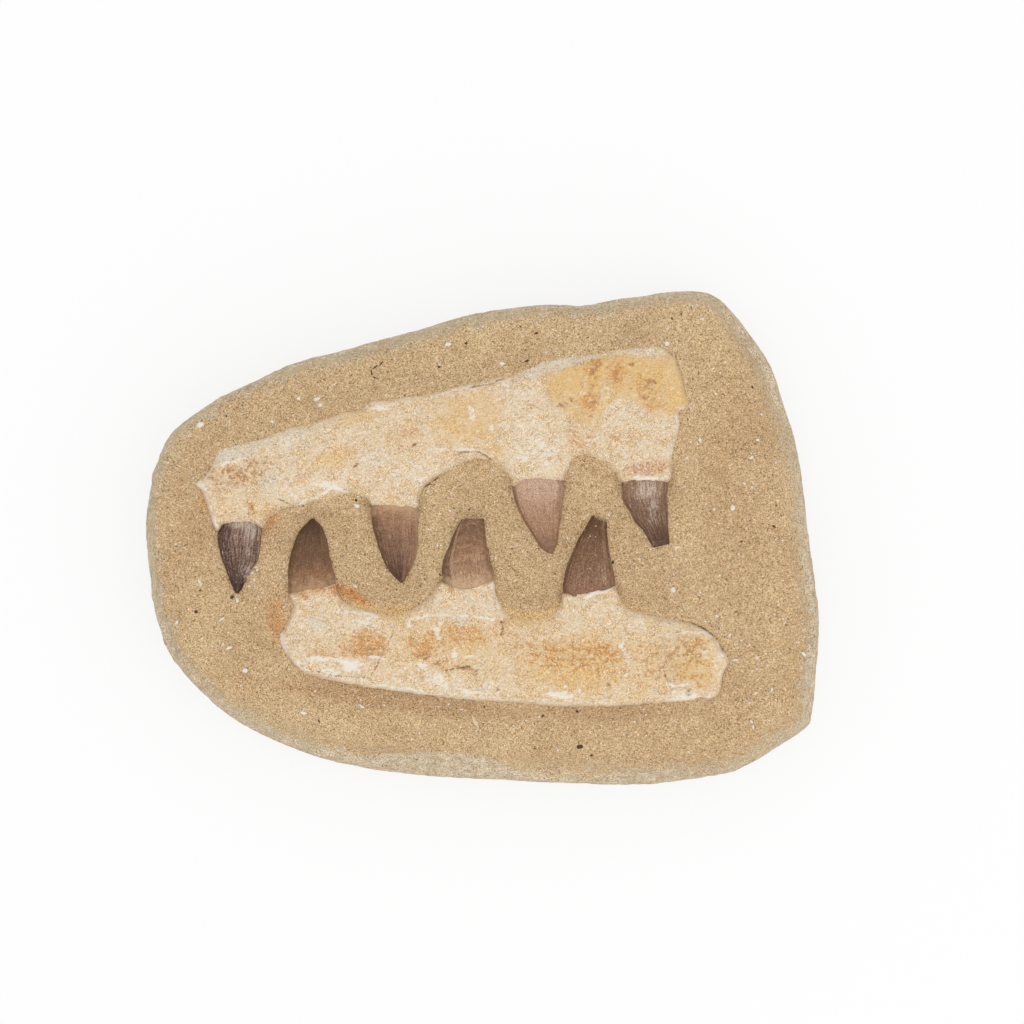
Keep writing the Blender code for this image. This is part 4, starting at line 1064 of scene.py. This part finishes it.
def rock_material():
    """Sandy phosphate: close grains, shell flecks, rusty stains, painted shade beside the bones and a paler
    crust low on the sides.
    """
    paint = Paint("sandy_matrix", Specular_IOR_Level=0.2)
    patches = paint.noise(5.0, 4.0)
    rugged = paint.noise(2.0, 7.0, 0.82)
    fine = paint.noise(0.4, 2.0, 0.7)
    colour = paint.tinted(SAND, SAND_PALE, paint.noise(24.0, 4.0), 0.35, 0.7)
    colour = paint.tinted(colour, SAND_DARK, patches, 0.5, 0.78, 0.5)
    # Painted shade beside the bones and in the arches, in part a brownish stain below the lower jaw
    colour = paint.cover(colour, SHADE_SAND, paint.broken(paint.mask("shade"), patches, 0.1, 1.0, 0.4), 0.55)
    colour = paint.cover(colour, RUST, paint.broken(paint.mask("stain"), rugged, 0.25, 1.1, 4.0), 0.85)
    colour = paint.cover(colour, GOLD, paint.broken(paint.mask("gold"), rugged, 0.25, 1.1, 4.0))

    crusted = paint.broken(paint.broken(paint.mask("crust"), patches, 0.1, 0.9, 2.0), rugged, 0.3, 0.9, 6.0)
    crust = paint.tinted(CRUST, CRUST_GREY, patches, 0.42, 0.58)
    crust = paint.tinted(crust, SAND, rugged, 0.52, 0.58, 0.5)
    colour = paint.cover(colour, crust, crusted, 0.9)

    for grains in ROCK_GRAINS:
        colour = paint.grained(colour, *grains)
    colour = paint.tinted(colour, GRAIN_DARK, fine, 0.52, 0.72, 0.25)
    for spots in ROCK_SPOTS:
        colour = paint.spots(colour, *spots)
    height = paint.maths("MULTIPLY_ADD", paint.cells(0.62).outputs["Distance"], -0.4, patches)
    height = paint.maths("MULTIPLY_ADD", paint.noise(0.9, 4.0, 0.65), 0.6, height)
    return paint.finish(colour, paint.ramp(fine, 0.3, 0.8, 0.86, 1.0), height, 0.5)


def bone_lines(paint, colour):
    """Pale seams and broken edges, and dark cracks, with uneven widths and gaps."""
    edges = paint.noise(1.1, 6.0, 0.75)
    gaps = paint.noise(4.5, 3.0, 0.6)
    for name, width, tint, most, least in BONE_LINES:
        reach = paint.uneven(paint.mask(name), edges, 9 * width)
        line = paint.ramp(reach, width, 0.6 * width, 0.0, most)
        colour = paint.cover(colour, tint, line, paint.ramp(gaps, 0.42, 0.52, least, 1.0))
    return colour


def bone_material():
    """Fossil bone: cream with ochre and orange stains, white broken edges, cracks and a sandy speckle, with
    painted shade in grey on sloping faces and a painted highlight along the lower jaw's bottom edge.
    """
    paint = Paint("fossil_bone", Specular_IOR_Level=0.25)
    cloud = paint.noise(6.0, 5.0, 0.6)
    mottle = paint.noise(2.0, 7.0, 0.82)
    fine = paint.noise(0.8, 4.0, 0.8)
    flaky = paint.noise(1.5, 7.0, 0.8, paint.stretched((1.7, 0.8, 1.0), 6.0))
    colour = paint.tinted(CREAM, CREAM_PINK, cloud, 0.38, 0.6)
    colour = paint.tinted(colour, CREAM_PALE, mottle, 0.49, 0.57, 0.7)
    colour = paint.tinted(colour, OCHRE, mottle, 0.48, 0.4, 0.55)
    for name, tint, low, high, most, speckle, ragged in BONE_TINTS:
        amount = paint.broken(paint.mask(name), mottle, low, high, ragged)
        colour = paint.cover(colour, tint, amount, paint.ramp(fine, 0.45, 0.55, 1 - speckle, 1.0), most)
    calm = paint.ramp(paint.mask("tint"), 0.0, 0.8, 1.0, 0.55)
    for noise, low, high in ((fine, 0.55, 0.6), (flaky, 0.56, 0.61)):
        colour = paint.cover(colour, SPECKLE, paint.ramp(noise, low, high, 0.0, 0.5), calm)
    colour = paint.tinted(colour, BONE_WHITE, flaky, 0.43, 0.39, 0.6)
    colour = paint.spots(colour, *BONE_SPOTS)
    grainy = paint.maths("MULTIPLY", paint.ramp(cloud, 0.42, 0.58, 0.5, 1.0), calm)
    colour = paint.grained(colour, *BONE_GRAINS, grainy)
    # Pale flakes, and the painted highlight along the lower jaw's bottom edge
    white = paint.broken(paint.mask("pale"), flaky, 0.72, 0.86, 6.0)
    colour = bone_lines(paint, paint.cover(colour, BONE_WHITE, white, 0.85))
    height = paint.maths("MULTIPLY_ADD", fine, -0.7, mottle)
    return paint.finish(colour, paint.ramp(mottle, 0.3, 0.7, 0.7, 0.88), height, 0.35)


def crown_bands(paint, colour, looks, striae, blotches):
    """Tinted bands along the crown, and its dark and pale patches."""
    along = paint.mask("along")
    across = paint.mask("across")
    for at_base, at_tip, width, tint, strength in looks["bands"]:
        centre = paint.maths("MULTIPLY_ADD", along, at_tip - at_base, at_base)
        reach = paint.maths("ABSOLUTE", paint.maths("SUBTRACT", across, centre))
        reach = paint.uneven(paint.uneven(reach, striae, width), blotches, 0.8 * width)
        colour = paint.tinted(colour, tint, reach, width, width * 0.65, strength)
    for patch, tint, most in (("dark_patch", looks["dark"], 0.7), ("pale_patch", looks["pale"], 0.85)):
        amount = paint.uneven(paint.uneven(paint.mask(patch), blotches, 2.5), striae, 4.0)
        colour = paint.tinted(colour, tint, amount, 0.2, 1.1, most)
    return colour


def crown_marks(paint, colour, looks, striae, blotches):
    """Scratches along the crown, curved rings across it, and flecks."""
    along = paint.mask("along")
    across = paint.mask("across")
    strength = looks["striae"]
    less = paint.ramp(along, 0.4, 0.9, 1.0, 0.15)
    scratches = paint.ramp(striae, 0.52, 0.62, 0.0, 0.8 * strength)
    colour = paint.cover(colour, looks["pale"], scratches, less)
    colour = paint.tinted(colour, looks["dark"], striae, 0.49, 0.4, strength)
    bowed = paint.maths("MULTIPLY_ADD", paint.maths("MULTIPLY", across, across), 0.12, along)
    rings = paint.noise(0.1, 5.0, 0.7, paint.add("CombineXYZ", {"X": bowed, "Y": blotches}).outputs[0])
    colour = paint.tinted(colour, looks["pale"], rings, 0.51, 0.58, 0.6 * looks["rings"])
    colour = paint.tinted(colour, looks["dark"], rings, 0.48, 0.41, 0.6 * looks["rings"])
    fleck = paint.noise(0.5, 4.0, 0.8)
    colour = paint.cover(colour, looks["pale"], paint.ramp(fleck, 0.55, 0.64, 0.0, looks["flecks"]), less)
    return paint.tinted(colour, looks["dark"], fleck, 0.45, 0.36, 0.2 + looks["flecks"])


def enamel_material(name):
    """Tooth enamel: tints that deepen towards the tip, bands and fine striations along the crown."""
    looks = TOOTH_LOOKS[name]
    base, middle, tip = looks["tints"]
    paint = Paint(name + "_enamel", Specular_IOR_Level=0.18)
    along = paint.mask("along")
    place = paint.add("CombineXYZ", {"X": paint.mask("across"), "Y": along}).outputs[0]
    lines = paint.add("VectorMath", {0: place, 1: (13.0, 2.4, 1.0)}, operation="MULTIPLY").outputs[0]
    striae = paint.noise(1.0, 6.0, 0.85, lines)
    blotches = paint.noise(3.0, 8.0, 0.7)
    level = paint.uneven(along, blotches, 0.4)
    colour = paint.tinted(base, middle, level, 0.02, 0.45)
    colour = paint.tinted(colour, tip, level, 0.45, 0.9)
    colour = crown_bands(paint, colour, looks, striae, blotches)
    colour = crown_marks(paint, colour, looks, striae, blotches)
    colour = paint.grained(colour, *ENAMEL_GRAINS)
    colour = paint.spots(colour, looks["pale"], 2.2, 0.45, 0.15, 1.5 * looks["flecks"])
    root = paint.uneven(paint.uneven(along, striae, 1.2), blotches, 0.8)
    colour = paint.tinted(colour, CREAM_PINK, root, 0.12, 0.0, looks["fade"])
    height = paint.maths("MULTIPLY_ADD", blotches, 0.5, striae)
    return paint.finish(colour, paint.ramp(blotches, 0.3, 0.7, 0.4, 0.6), height, 0.16)


def chip_material():
    """Shell chips, straw-coloured and dark slivers, told apart by their tone."""
    paint = Paint("shell_chips", Specular_IOR_Level=0.25)
    tone = paint.mask("tone")
    cloud = paint.noise(0.9, 3.0)
    colour = paint.tinted(SHELL_WHITE, GRAIN_PALE, cloud, 0.4, 0.7, 0.6)
    colour = paint.tinted(colour, GOLD, tone, 0.25, 0.4)
    colour = paint.tinted(colour, SPECK_DARK, tone, 0.6, 0.9)
    return paint.finish(colour, paint.ramp(cloud, 0.3, 0.7, 0.6, 0.85), cloud, 0.15)


def slab_rings(relief):
    """Rings of points up the slab's worn side and over its shoulder."""
    table = np.array(SLAB_RINGS)
    levels = np.linspace(0, table[-1, 0], SLAB_LEVELS)
    round_share = np.arange(len(relief.slab)) / len(relief.slab)
    shoulders = relief.shoulders[:, 0]
    rings = []
    for level in levels:
        tuck, share = (np.interp(level, table[:, 0], column) for column in table[:, 1:].T)
        width = tuck + share * shoulders + side_roughness(round_share, level)
        width = np.clip(width, 0.0, WIDEST_SHARE * shoulders)
        ring = relief.slab[:, :2] + relief.directions * width[:, None]
        rings.append(np.column_stack([ring, np.full(len(ring), level)]))
    last = rings[-1]
    top = np.column_stack([relief.shoulder, relief.rock_height(relief.shoulder)])
    for step in range(1, SHOULDER_LEVELS + 1):
        rings.append(last + (top - last) * step / SHOULDER_LEVELS)
    return np.array(rings)


def slab_surface(relief):
    """Points and quads of the rock with its shoulder rounded off, before its sides are worn."""
    rings = slab_rings(relief)
    patch = coons_patch(relief.shoulder, SLAB_CELLS)
    grid = np.concatenate([patch, relief.rock_height(patch)[..., None]], axis=-1)
    points, faces = relief_mesh(rings, grid, SLAB_CELLS)
    from_shoulder = np.linalg.norm(rings - rings[-1], axis=2).ravel()
    inner = distance_to(relief.shoulder[::4], points[len(from_shoulder):])
    from_shoulder = np.concatenate([from_shoulder, inner])
    weight = np.exp(-(from_shoulder / SHOULDER_REACH) ** 2)
    return soften(points, faces, weight, SHOULDER_ROUNDS), faces


def slab_wear(points, normals):
    """How far lumps and hollows move each point of the rock: mostly on its sides, and not at its base."""
    side = np.clip(1 - normals[:, 2] * 1.2, 0.0, 1.0)
    lumps = np.minimum(layered(points, ROCK_SIDE_NOISE) - LUMP_LEVEL, LUMP_MOST)
    calm = smooth_step(0.0, SLAB_CALM, np.abs(points[:, 2] - SLAB_WIDEST))
    calm = WIDEST_LUMPS + (1 - WIDEST_LUMPS) * calm
    wear = side * lumps * calm + layered(points, ROCK_FINE_NOISE)
    return wear * smooth_step(0.0, BASE_CALM, points[:, 2])


def slab_masks(relief, points):
    """Where crust, stains, gold and the painted shade lie on the rock."""
    pixels = on_photo(points[:, :2])
    wavy = wavering(pixels, points, *ROCK_WAVER)
    gaps = [within_reach(signed_distance, rim[::4], points, GOLD_REACH) for rim in relief.bones.values()]
    gold_band = smooth_step(GOLD_REACH, 0.0, np.min(gaps, axis=0))
    below = smooth_step(CRUST_FADES, CRUST_FULL, points[:, 2])
    from_edge = within_reach(distance_to, relief.slab[::4], points, EDGE_LIMIT)
    reach = marks_at(ROCK_CRUST, wavy) - from_edge - CRUST_INSET
    crust = smooth_step(-0.5 * CRUST_EASE, 0.5 * CRUST_EASE, reach)
    patchy = EDGE_CRUST * smooth_step(EDGE_REACH, 0.0, from_edge)
    return {"crust": np.max([below, crust, patchy], axis=0), "stain": marks_at(ROCK_STAINS, wavy),
            "gold": marks_at(ROCK_GOLD, wavy) * gold_band, "shade": marks_at(ROCK_SHADE, pixels)}


def slab_piece(relief):
    """The rock, from its flat base up its worn sides to the carved top.  Gives its surface."""
    points, faces = slab_surface(relief)
    normals = vertex_normals(points, faces)
    points = points + normals * slab_wear(points, normals)[:, None]
    base = np.arange(len(relief.slab))
    points[base, 2] = 0.0
    faces = faces.tolist()
    new_piece("rock_matrix", points, faces + [base.tolist()], relief.middle, slab_masks(relief, points),
              rock_material(), ["matrix_block"])
    return BVHTree.FromPolygons(points.tolist(), faces)


def heights_on(surface, places):
    """Heights of a surface at places seen from above."""
    hits = [surface.ray_cast(Vector((x, y, 2 * ROCK_TOP)), Vector((0, 0, -1)))[0] for x, y in places]
    return np.array([hit.z if hit else 0.0 for hit in hits])


def loose_bits(relief, chance):
    """Places in the photo, half sizes, turns and tones of all the bits in the rock's top."""
    outlines = list(relief.bones.values()) + [relief.tooth_outline(name) for name in relief.teeth]
    low = relief.shoulder.min(0)
    high = relief.shoulder.max(0)
    spots = low + (high - low) * chance.random((4 * LOOSE_BITS, 2))
    clear = signed_distance(relief.shoulder[::4], spots) < 0
    for outline in outlines:
        clear &= within_reach(signed_distance, outline[::2], spots, 2 * BIT_GAP) > BIT_GAP
    bits = list(NAMED_BITS)
    for x, y in on_photo(spots[clear][:LOOSE_BITS]):
        half = 0.4 + 1.0 * chance.random() ** 3
        tone = chance.choice(BIT_TONES, p=TONE_SHARES)
        bits.append((x, y, half * (1 + chance.random()), half, 180 * chance.random(), tone))
    return bits


def bit_points(surface, bit, chance):
    """Three rings of one bit: its foot in the rock, its edge on the rock's surface and its smaller top."""
    x, y, half_x, half_y, tilt, _ = bit
    centre = from_photo((x, y), ROCK_TOP)
    turns = -2 * math.pi * (np.arange(BIT_SIDES) + 0.7 * chance.random(BIT_SIDES)) / BIT_SIDES
    reach = 0.7 + 0.5 * chance.random(BIT_SIDES)
    corner = np.stack([half_x * reach * np.cos(turns), half_y * reach * np.sin(turns)], axis=-1) * PIXEL
    lean = math.radians(tilt)
    turned = corner @ np.array([[math.cos(lean), math.sin(lean)], [-math.sin(lean), math.cos(lean)]])
    rise = BIT_RISE * (0.6 + 0.8 * chance.random(BIT_SIDES))
    rings = []
    for scale, level in ((0.9, -BIT_DEPTH), (1.0, 0.0), (0.75, rise)):
        ring = centre + turned * scale
        rings.append(np.column_stack([ring, heights_on(surface, ring) + level]))
    return np.concatenate(rings)


def chips_piece(relief, surface):
    """Small angular bits of shell and dark grit that stand a little out of the rock."""
    chance = np.random.default_rng(5)
    bits = loose_bits(relief, chance)
    points = np.concatenate([bit_points(surface, bit, chance) for bit in bits])
    closed = wall_faces(3, BIT_SIDES).tolist()
    closed += [list(range(BIT_SIDES)), list(range(2 * BIT_SIDES, 3 * BIT_SIDES))[::-1]]
    faces = []
    for first in range(0, len(points), 3 * BIT_SIDES):
        faces += [[first + corner for corner in face] for face in closed]
    tones = np.repeat([bit[-1] for bit in bits], 3 * BIT_SIDES)
    new_piece("shell_chips", points, faces, relief.middle, {"tone": tones}, chip_material(), None)


def tooth_cover(relief, name, points):
    """Height at which the bone just covers a tooth's base and root, or zero away from them."""
    left, right = relief.teeth[name]
    crown = TEETH[name][2]
    start = TOOTH_ROOT_STATIONS
    middle = (left[start] + right[start]) / 2
    back = (left[0] + right[0]) / 2 - middle
    back /= np.hypot(*back)
    half = (right[start] - left[start]) / 2
    width = np.hypot(*half)
    half = np.array([back[1], -back[0]]) * math.copysign(1, back[1] * half[0] - back[0] * half[1])
    gap = points - middle
    u = gap @ half / (width * COVER_WIDTH)
    v = gap @ back
    dome = (crown + WRAP) * np.sqrt(np.clip(1 - u ** 2, 0.0, 1.0))
    near = smooth_step(*COVER_STARTS, v) * (1 - smooth_step(ROOT_DEPTH, ROOT_DEPTH + COVER_FADES, v))
    return np.where(np.abs(u) < 1, (TOOTH_AXIS + dome) * near, 0.0)


def plate_distances(points):
    """Signed distances to the raised plates, with ragged edges."""
    ragged = layered(flat_points(points), PLATE_RIM_NOISE)
    return [signed_distance(from_photo(outline, BONE_EDGE_TOP), points) + ragged for outline in PLATES]


def bone_face(points, pixels, from_rim, plates):
    """A bone's upper face: a low crown with raised plates, shallow flakes, pits and cracks."""
    places = flat_points(points)
    x = points[..., 0]
    y = points[..., 1]
    face = BONE_EDGE_TOP + BONE_CROWN * (1 - np.exp(-from_rim / BONE_CROWN_REACH))
    face += BONE_SWELL * np.sin(x / 5 + y / 3) * np.sin(x / 11 - y / 4) + layered(places, BONE_FACE_NOISE)
    for away, rise in zip(plates, PLATE_RISES):
        face += rise * (1 - smooth_step(-PLATE_EDGE, PLATE_EDGE, away))
    flakes = fractal(places, *FLAKES)
    for rise, level in FLAKE_STEPS:
        face += rise * smooth_step(level, level + FLAKE_EDGE, flakes)
    face -= PIT_DEPTH * np.clip(marks_at(BROWN_MARKS, pixels) - PIT_STARTS, 0, 1)
    face += PALE_RISE * marks_at(PALE_AND_HIGHLIGHT_MARKS, pixels)
    for lines, rise, width in LINE_FORMS:
        for away in line_distances(lines, points):
            face += rise * np.exp(-(away / width) ** 2)
    return face


def bone_height(relief, points, pixels, from_rim, plates, teeth):
    """A bone's face with its sloping sides down to the rock, raised where it covers teeth."""
    seat = relief.seat(points)
    bevel = BEVEL + marks_at(SLOPES, pixels) + SLOPE_SPREAD * (seat - BONE_SEAT)
    rim_height = seat + BONE_RIM_HEIGHT - BONE_SEAT
    share = np.clip(from_rim / bevel, 0.0, 1.0)
    face = bone_face(points, pixels, from_rim, plates)
    height = rim_height + (face - rim_height) * (1 - (1 - share) ** BEVEL_POWER)
    rough = layered(flat_points(points), COVER_NOISE)
    for tooth in teeth:
        height = np.maximum(height, tooth_cover(relief, tooth, points) + rough)
    return height


def bone_masks(relief, points, pixels, from_rim, plates):
    """Where each tint of the bone lies, and distances to its lines and cracks."""
    wavy = wavering(pixels, flat_points(points), *BONE_WAVER)
    plate = np.min(plates, axis=0)
    shaded_grey_face = within_reach(signed_distance, from_photo(SHADED_GREY_FACE, BONE_EDGE_TOP), points, LINE_REACH)
    faint = [FAINTNESS + away for away in line_distances(FAINT_CRACKS, points)]
    masks = {name: marks_at(marks, wavy) for name, marks in BONE_MARKS.items()}
    masks["grey_and_shade"] = np.maximum(masks["grey_and_shade"], smooth_step(0.3, -0.3, shaded_grey_face))
    masks["tint"] = marks_at(PLATE_TINTS, wavy) * smooth_step(0.5, -0.5, plate)
    masks["rim"] = np.where(marks_at(PLATE_RIMS, pixels) > 0.35, np.abs(plate), LINE_REACH)
    masks["line"] = np.min(line_distances(WHITE_LINES, points), axis=0)
    masks["crack"] = np.min(line_distances(DARK_CRACKS, points) + faint, axis=0)
    masks["dust"] = smooth_step(DUST_REACH, 0.0, from_rim) * np.clip(relief.seat(points) - BONE_SEAT, 0, 1)
    return masks


def bone_piece(relief, name, node, teeth, material):
    """A jaw bone: a wall around its outline, closed above by its carved face."""
    rim = relief.bones[name]
    flat, triangles = fill_outline(rim, BONE_SPACING)
    pixels = on_photo(flat)
    from_rim = distance_to(rim[::2], flat)
    from_rim[:len(rim)] = 0.0
    plates = plate_distances(flat)
    height = bone_height(relief, flat, pixels, from_rim, plates, teeth)
    masks = bone_masks(relief, flat, pixels, from_rim, plates)
    rings = []
    for share in BONE_WALL + (1.0,):
        rings.append(np.column_stack([rim, BONE_FLOOR + (height[:len(rim)] - BONE_FLOOR) * share]))
    inner = np.column_stack([flat, height])[len(rim):]
    points = np.concatenate(rings + [inner])
    source = np.concatenate([np.tile(np.arange(len(rim)), len(rings)), np.arange(len(rim), len(flat))])
    masks = {mask: values[source] for mask, values in masks.items()}
    faces = wall_faces(len(rings), len(rim)).tolist()
    faces += (triangles + (len(rings) - 1) * len(rim)).tolist()
    faces.append(list(range(len(rim))))
    new_piece(name, points, faces, relief.middle, masks, material, [node])


def tooth_rings(edges, crown):
    """Rings of points round a tooth from its root to its tip, their turns, and how far across they lie."""
    left, right = edges
    half = (right - left) / 2
    width = np.hypot(*half.T)
    share = np.minimum(width / width[TOOTH_ROOT_STATIONS], 1.0) ** TOOTH_TAPER
    height = TOOTH_TIP_HEIGHT + (crown - TOOTH_TIP_HEIGHT) * share
    over = np.linspace(0, math.pi, TOOTH_ARC + 1)
    under = np.linspace(math.pi, 2 * math.pi, TOOTH_UNDER + 1)[1:-1]
    turns = np.concatenate([over, under])
    up = np.sin(turns)
    lift = np.where(up[None] >= -1e-9, height[:, None], TOOTH_UNDER_DEPTH)
    bulge = np.abs(up) ** (2 / TOOTH_FLATNESS)
    sway = -np.sign(np.cos(turns)) * np.abs(np.cos(turns)) ** (2 / TOOTH_FLATNESS)
    flat = ((left + right) / 2)[:, None] + half[:, None] * sway[None, :, None]
    level = TOOTH_AXIS + lift * np.where(up > 0, bulge, up)[None]
    return np.concatenate([flat, level[..., None]], axis=-1), turns, sway


def tooth_roughness(points, turn, along, seed):
    """How far the ridges along a crown and its small lumps rise, on its upper side only."""
    places = np.stack([turn * RIDGES_ROUND, along * RIDGES_ALONG, 0 * turn], axis=-1)
    rough = TOOTH_RIDGES * value_noise(places, 1.0, seed) + layered(points, TOOTH_NOISE, seed)
    return np.where(np.sin(turn) > -0.2, rough, 0.0)


def tooth_piece(relief, name, node):
    """One tooth: a tapering crown, rounded above and closed below, with its root under the bone."""
    rings, turns, sway = tooth_rings(relief.teeth[name], TEETH[name][2])
    stations, count = rings.shape[:2]
    points = rings.reshape(-1, 3)
    faces = wall_faces(stations, count)
    normals = vertex_normals(points, faces)
    side = math.copysign(1, normals[stations // 2 * count + TOOTH_ARC // 2, 2])
    turn = np.tile(turns, stations)
    along = np.repeat(np.linspace(0, 1, stations), count)
    rough = tooth_roughness(points, turn, along, TOOTH_SEED + int(name[-1]))
    points = points + side * normals * rough[:, None]

    root = TOOTH_ROOT_STATIONS / stations
    pixels = on_photo(points[:, :2])
    masks = {"along": np.maximum(along - root, 0) / (1 - root), "across": np.tile(sway, stations),
             "pale_patch": marks_at(TOOTH_PALE, pixels), "dark_patch": marks_at(TOOTH_DARK, pixels)}
    last = len(points) - count
    faces = faces.tolist() + [list(range(count))[::-1], list(range(last, last + count))]
    if side < 0:
        faces = [face[::-1] for face in faces]
    new_piece(name, points, faces, relief.middle, masks, enamel_material(name), [node])


def studio_floor():
    """A pale level floor."""
    mesh = bpy.data.meshes.new("studio_floor")
    corners = [(-FLOOR_REACH, -FLOOR_REACH, 0), (FLOOR_REACH, -FLOOR_REACH, 0),
               (FLOOR_REACH, FLOOR_REACH, 0), (-FLOOR_REACH, FLOOR_REACH, 0)]
    mesh.from_pydata(corners, [], [(0, 1, 2, 3)])
    material = bpy.data.materials.new("pale_floor")
    material.use_nodes = True
    inputs = material.node_tree.nodes["Principled BSDF"].inputs
    inputs["Base Color"].default_value = (FLOOR_GREY, FLOOR_GREY, FLOOR_GREY, 1.0)
    inputs["Roughness"].default_value = 0.9
    inputs["Emission Color"].default_value = (1.0, 1.0, 1.0, 1.0)
    inputs["Emission Strength"].default_value = FLOOR_GLOW
    mesh.materials.append(material)
    floor = placed("studio_floor", mesh)


def studio_light():
    """Soft light from all round, with a large lamp above."""
    world = bpy.data.worlds.new("studio")
    bpy.context.scene.world = world
    world.use_nodes = True
    background = world.node_tree.nodes["Background"]
    background.inputs["Color"].default_value = (1.0, 1.0, 1.0, 1.0)
    background.inputs["Strength"].default_value = SKY
    lamp_data = bpy.data.lights.new("softbox", "AREA")
    lamp_data.size = LAMP_SIZE
    lamp_data.energy = LAMP_POWER
    lamp = placed("softbox", lamp_data)
    lamp.location = LAMP_PLACE
    lamp.rotation_euler = Vector(LAMP_PLACE).to_track_quat("Z", "Y").to_euler()


def photo_camera(relief):
    """The photograph's camera, which looks straight down."""
    data = bpy.data.cameras.new("camera")
    data.sensor_width = SENSOR
    data.lens = SENSOR * PIXEL_DISTANCE / (PIXEL * 2 * PHOTO_MIDDLE)
    data.clip_end = 20.0
    camera = placed("camera", data)
    camera.location = ((VIEW_MIDDLE[0] - relief.middle[0]) * MM, (VIEW_MIDDLE[1] - relief.middle[1]) * MM,
                       CAMERA_HEIGHT * MM)
    bpy.context.scene.camera = camera
    bpy.context.scene.view_settings.view_transform = "Standard"


def main():
    relief = Relief()
    studio_floor()
    studio_light()
    photo_camera(relief)
    surface = slab_piece(relief)
    chips_piece(relief, surface)
    jaws = {jaw: [name for name in TEETH if jaw in name] for jaw in ("upper", "lower")}
    bone = bone_material()
    for jaw, teeth in jaws.items():
        bone_piece(relief, jaw + "_bone", jaw + "_jaw", teeth, bone)
    for jaw, teeth in jaws.items():
        for name in teeth:
            tooth_piece(relief, name, jaw + "_jaw")


main()
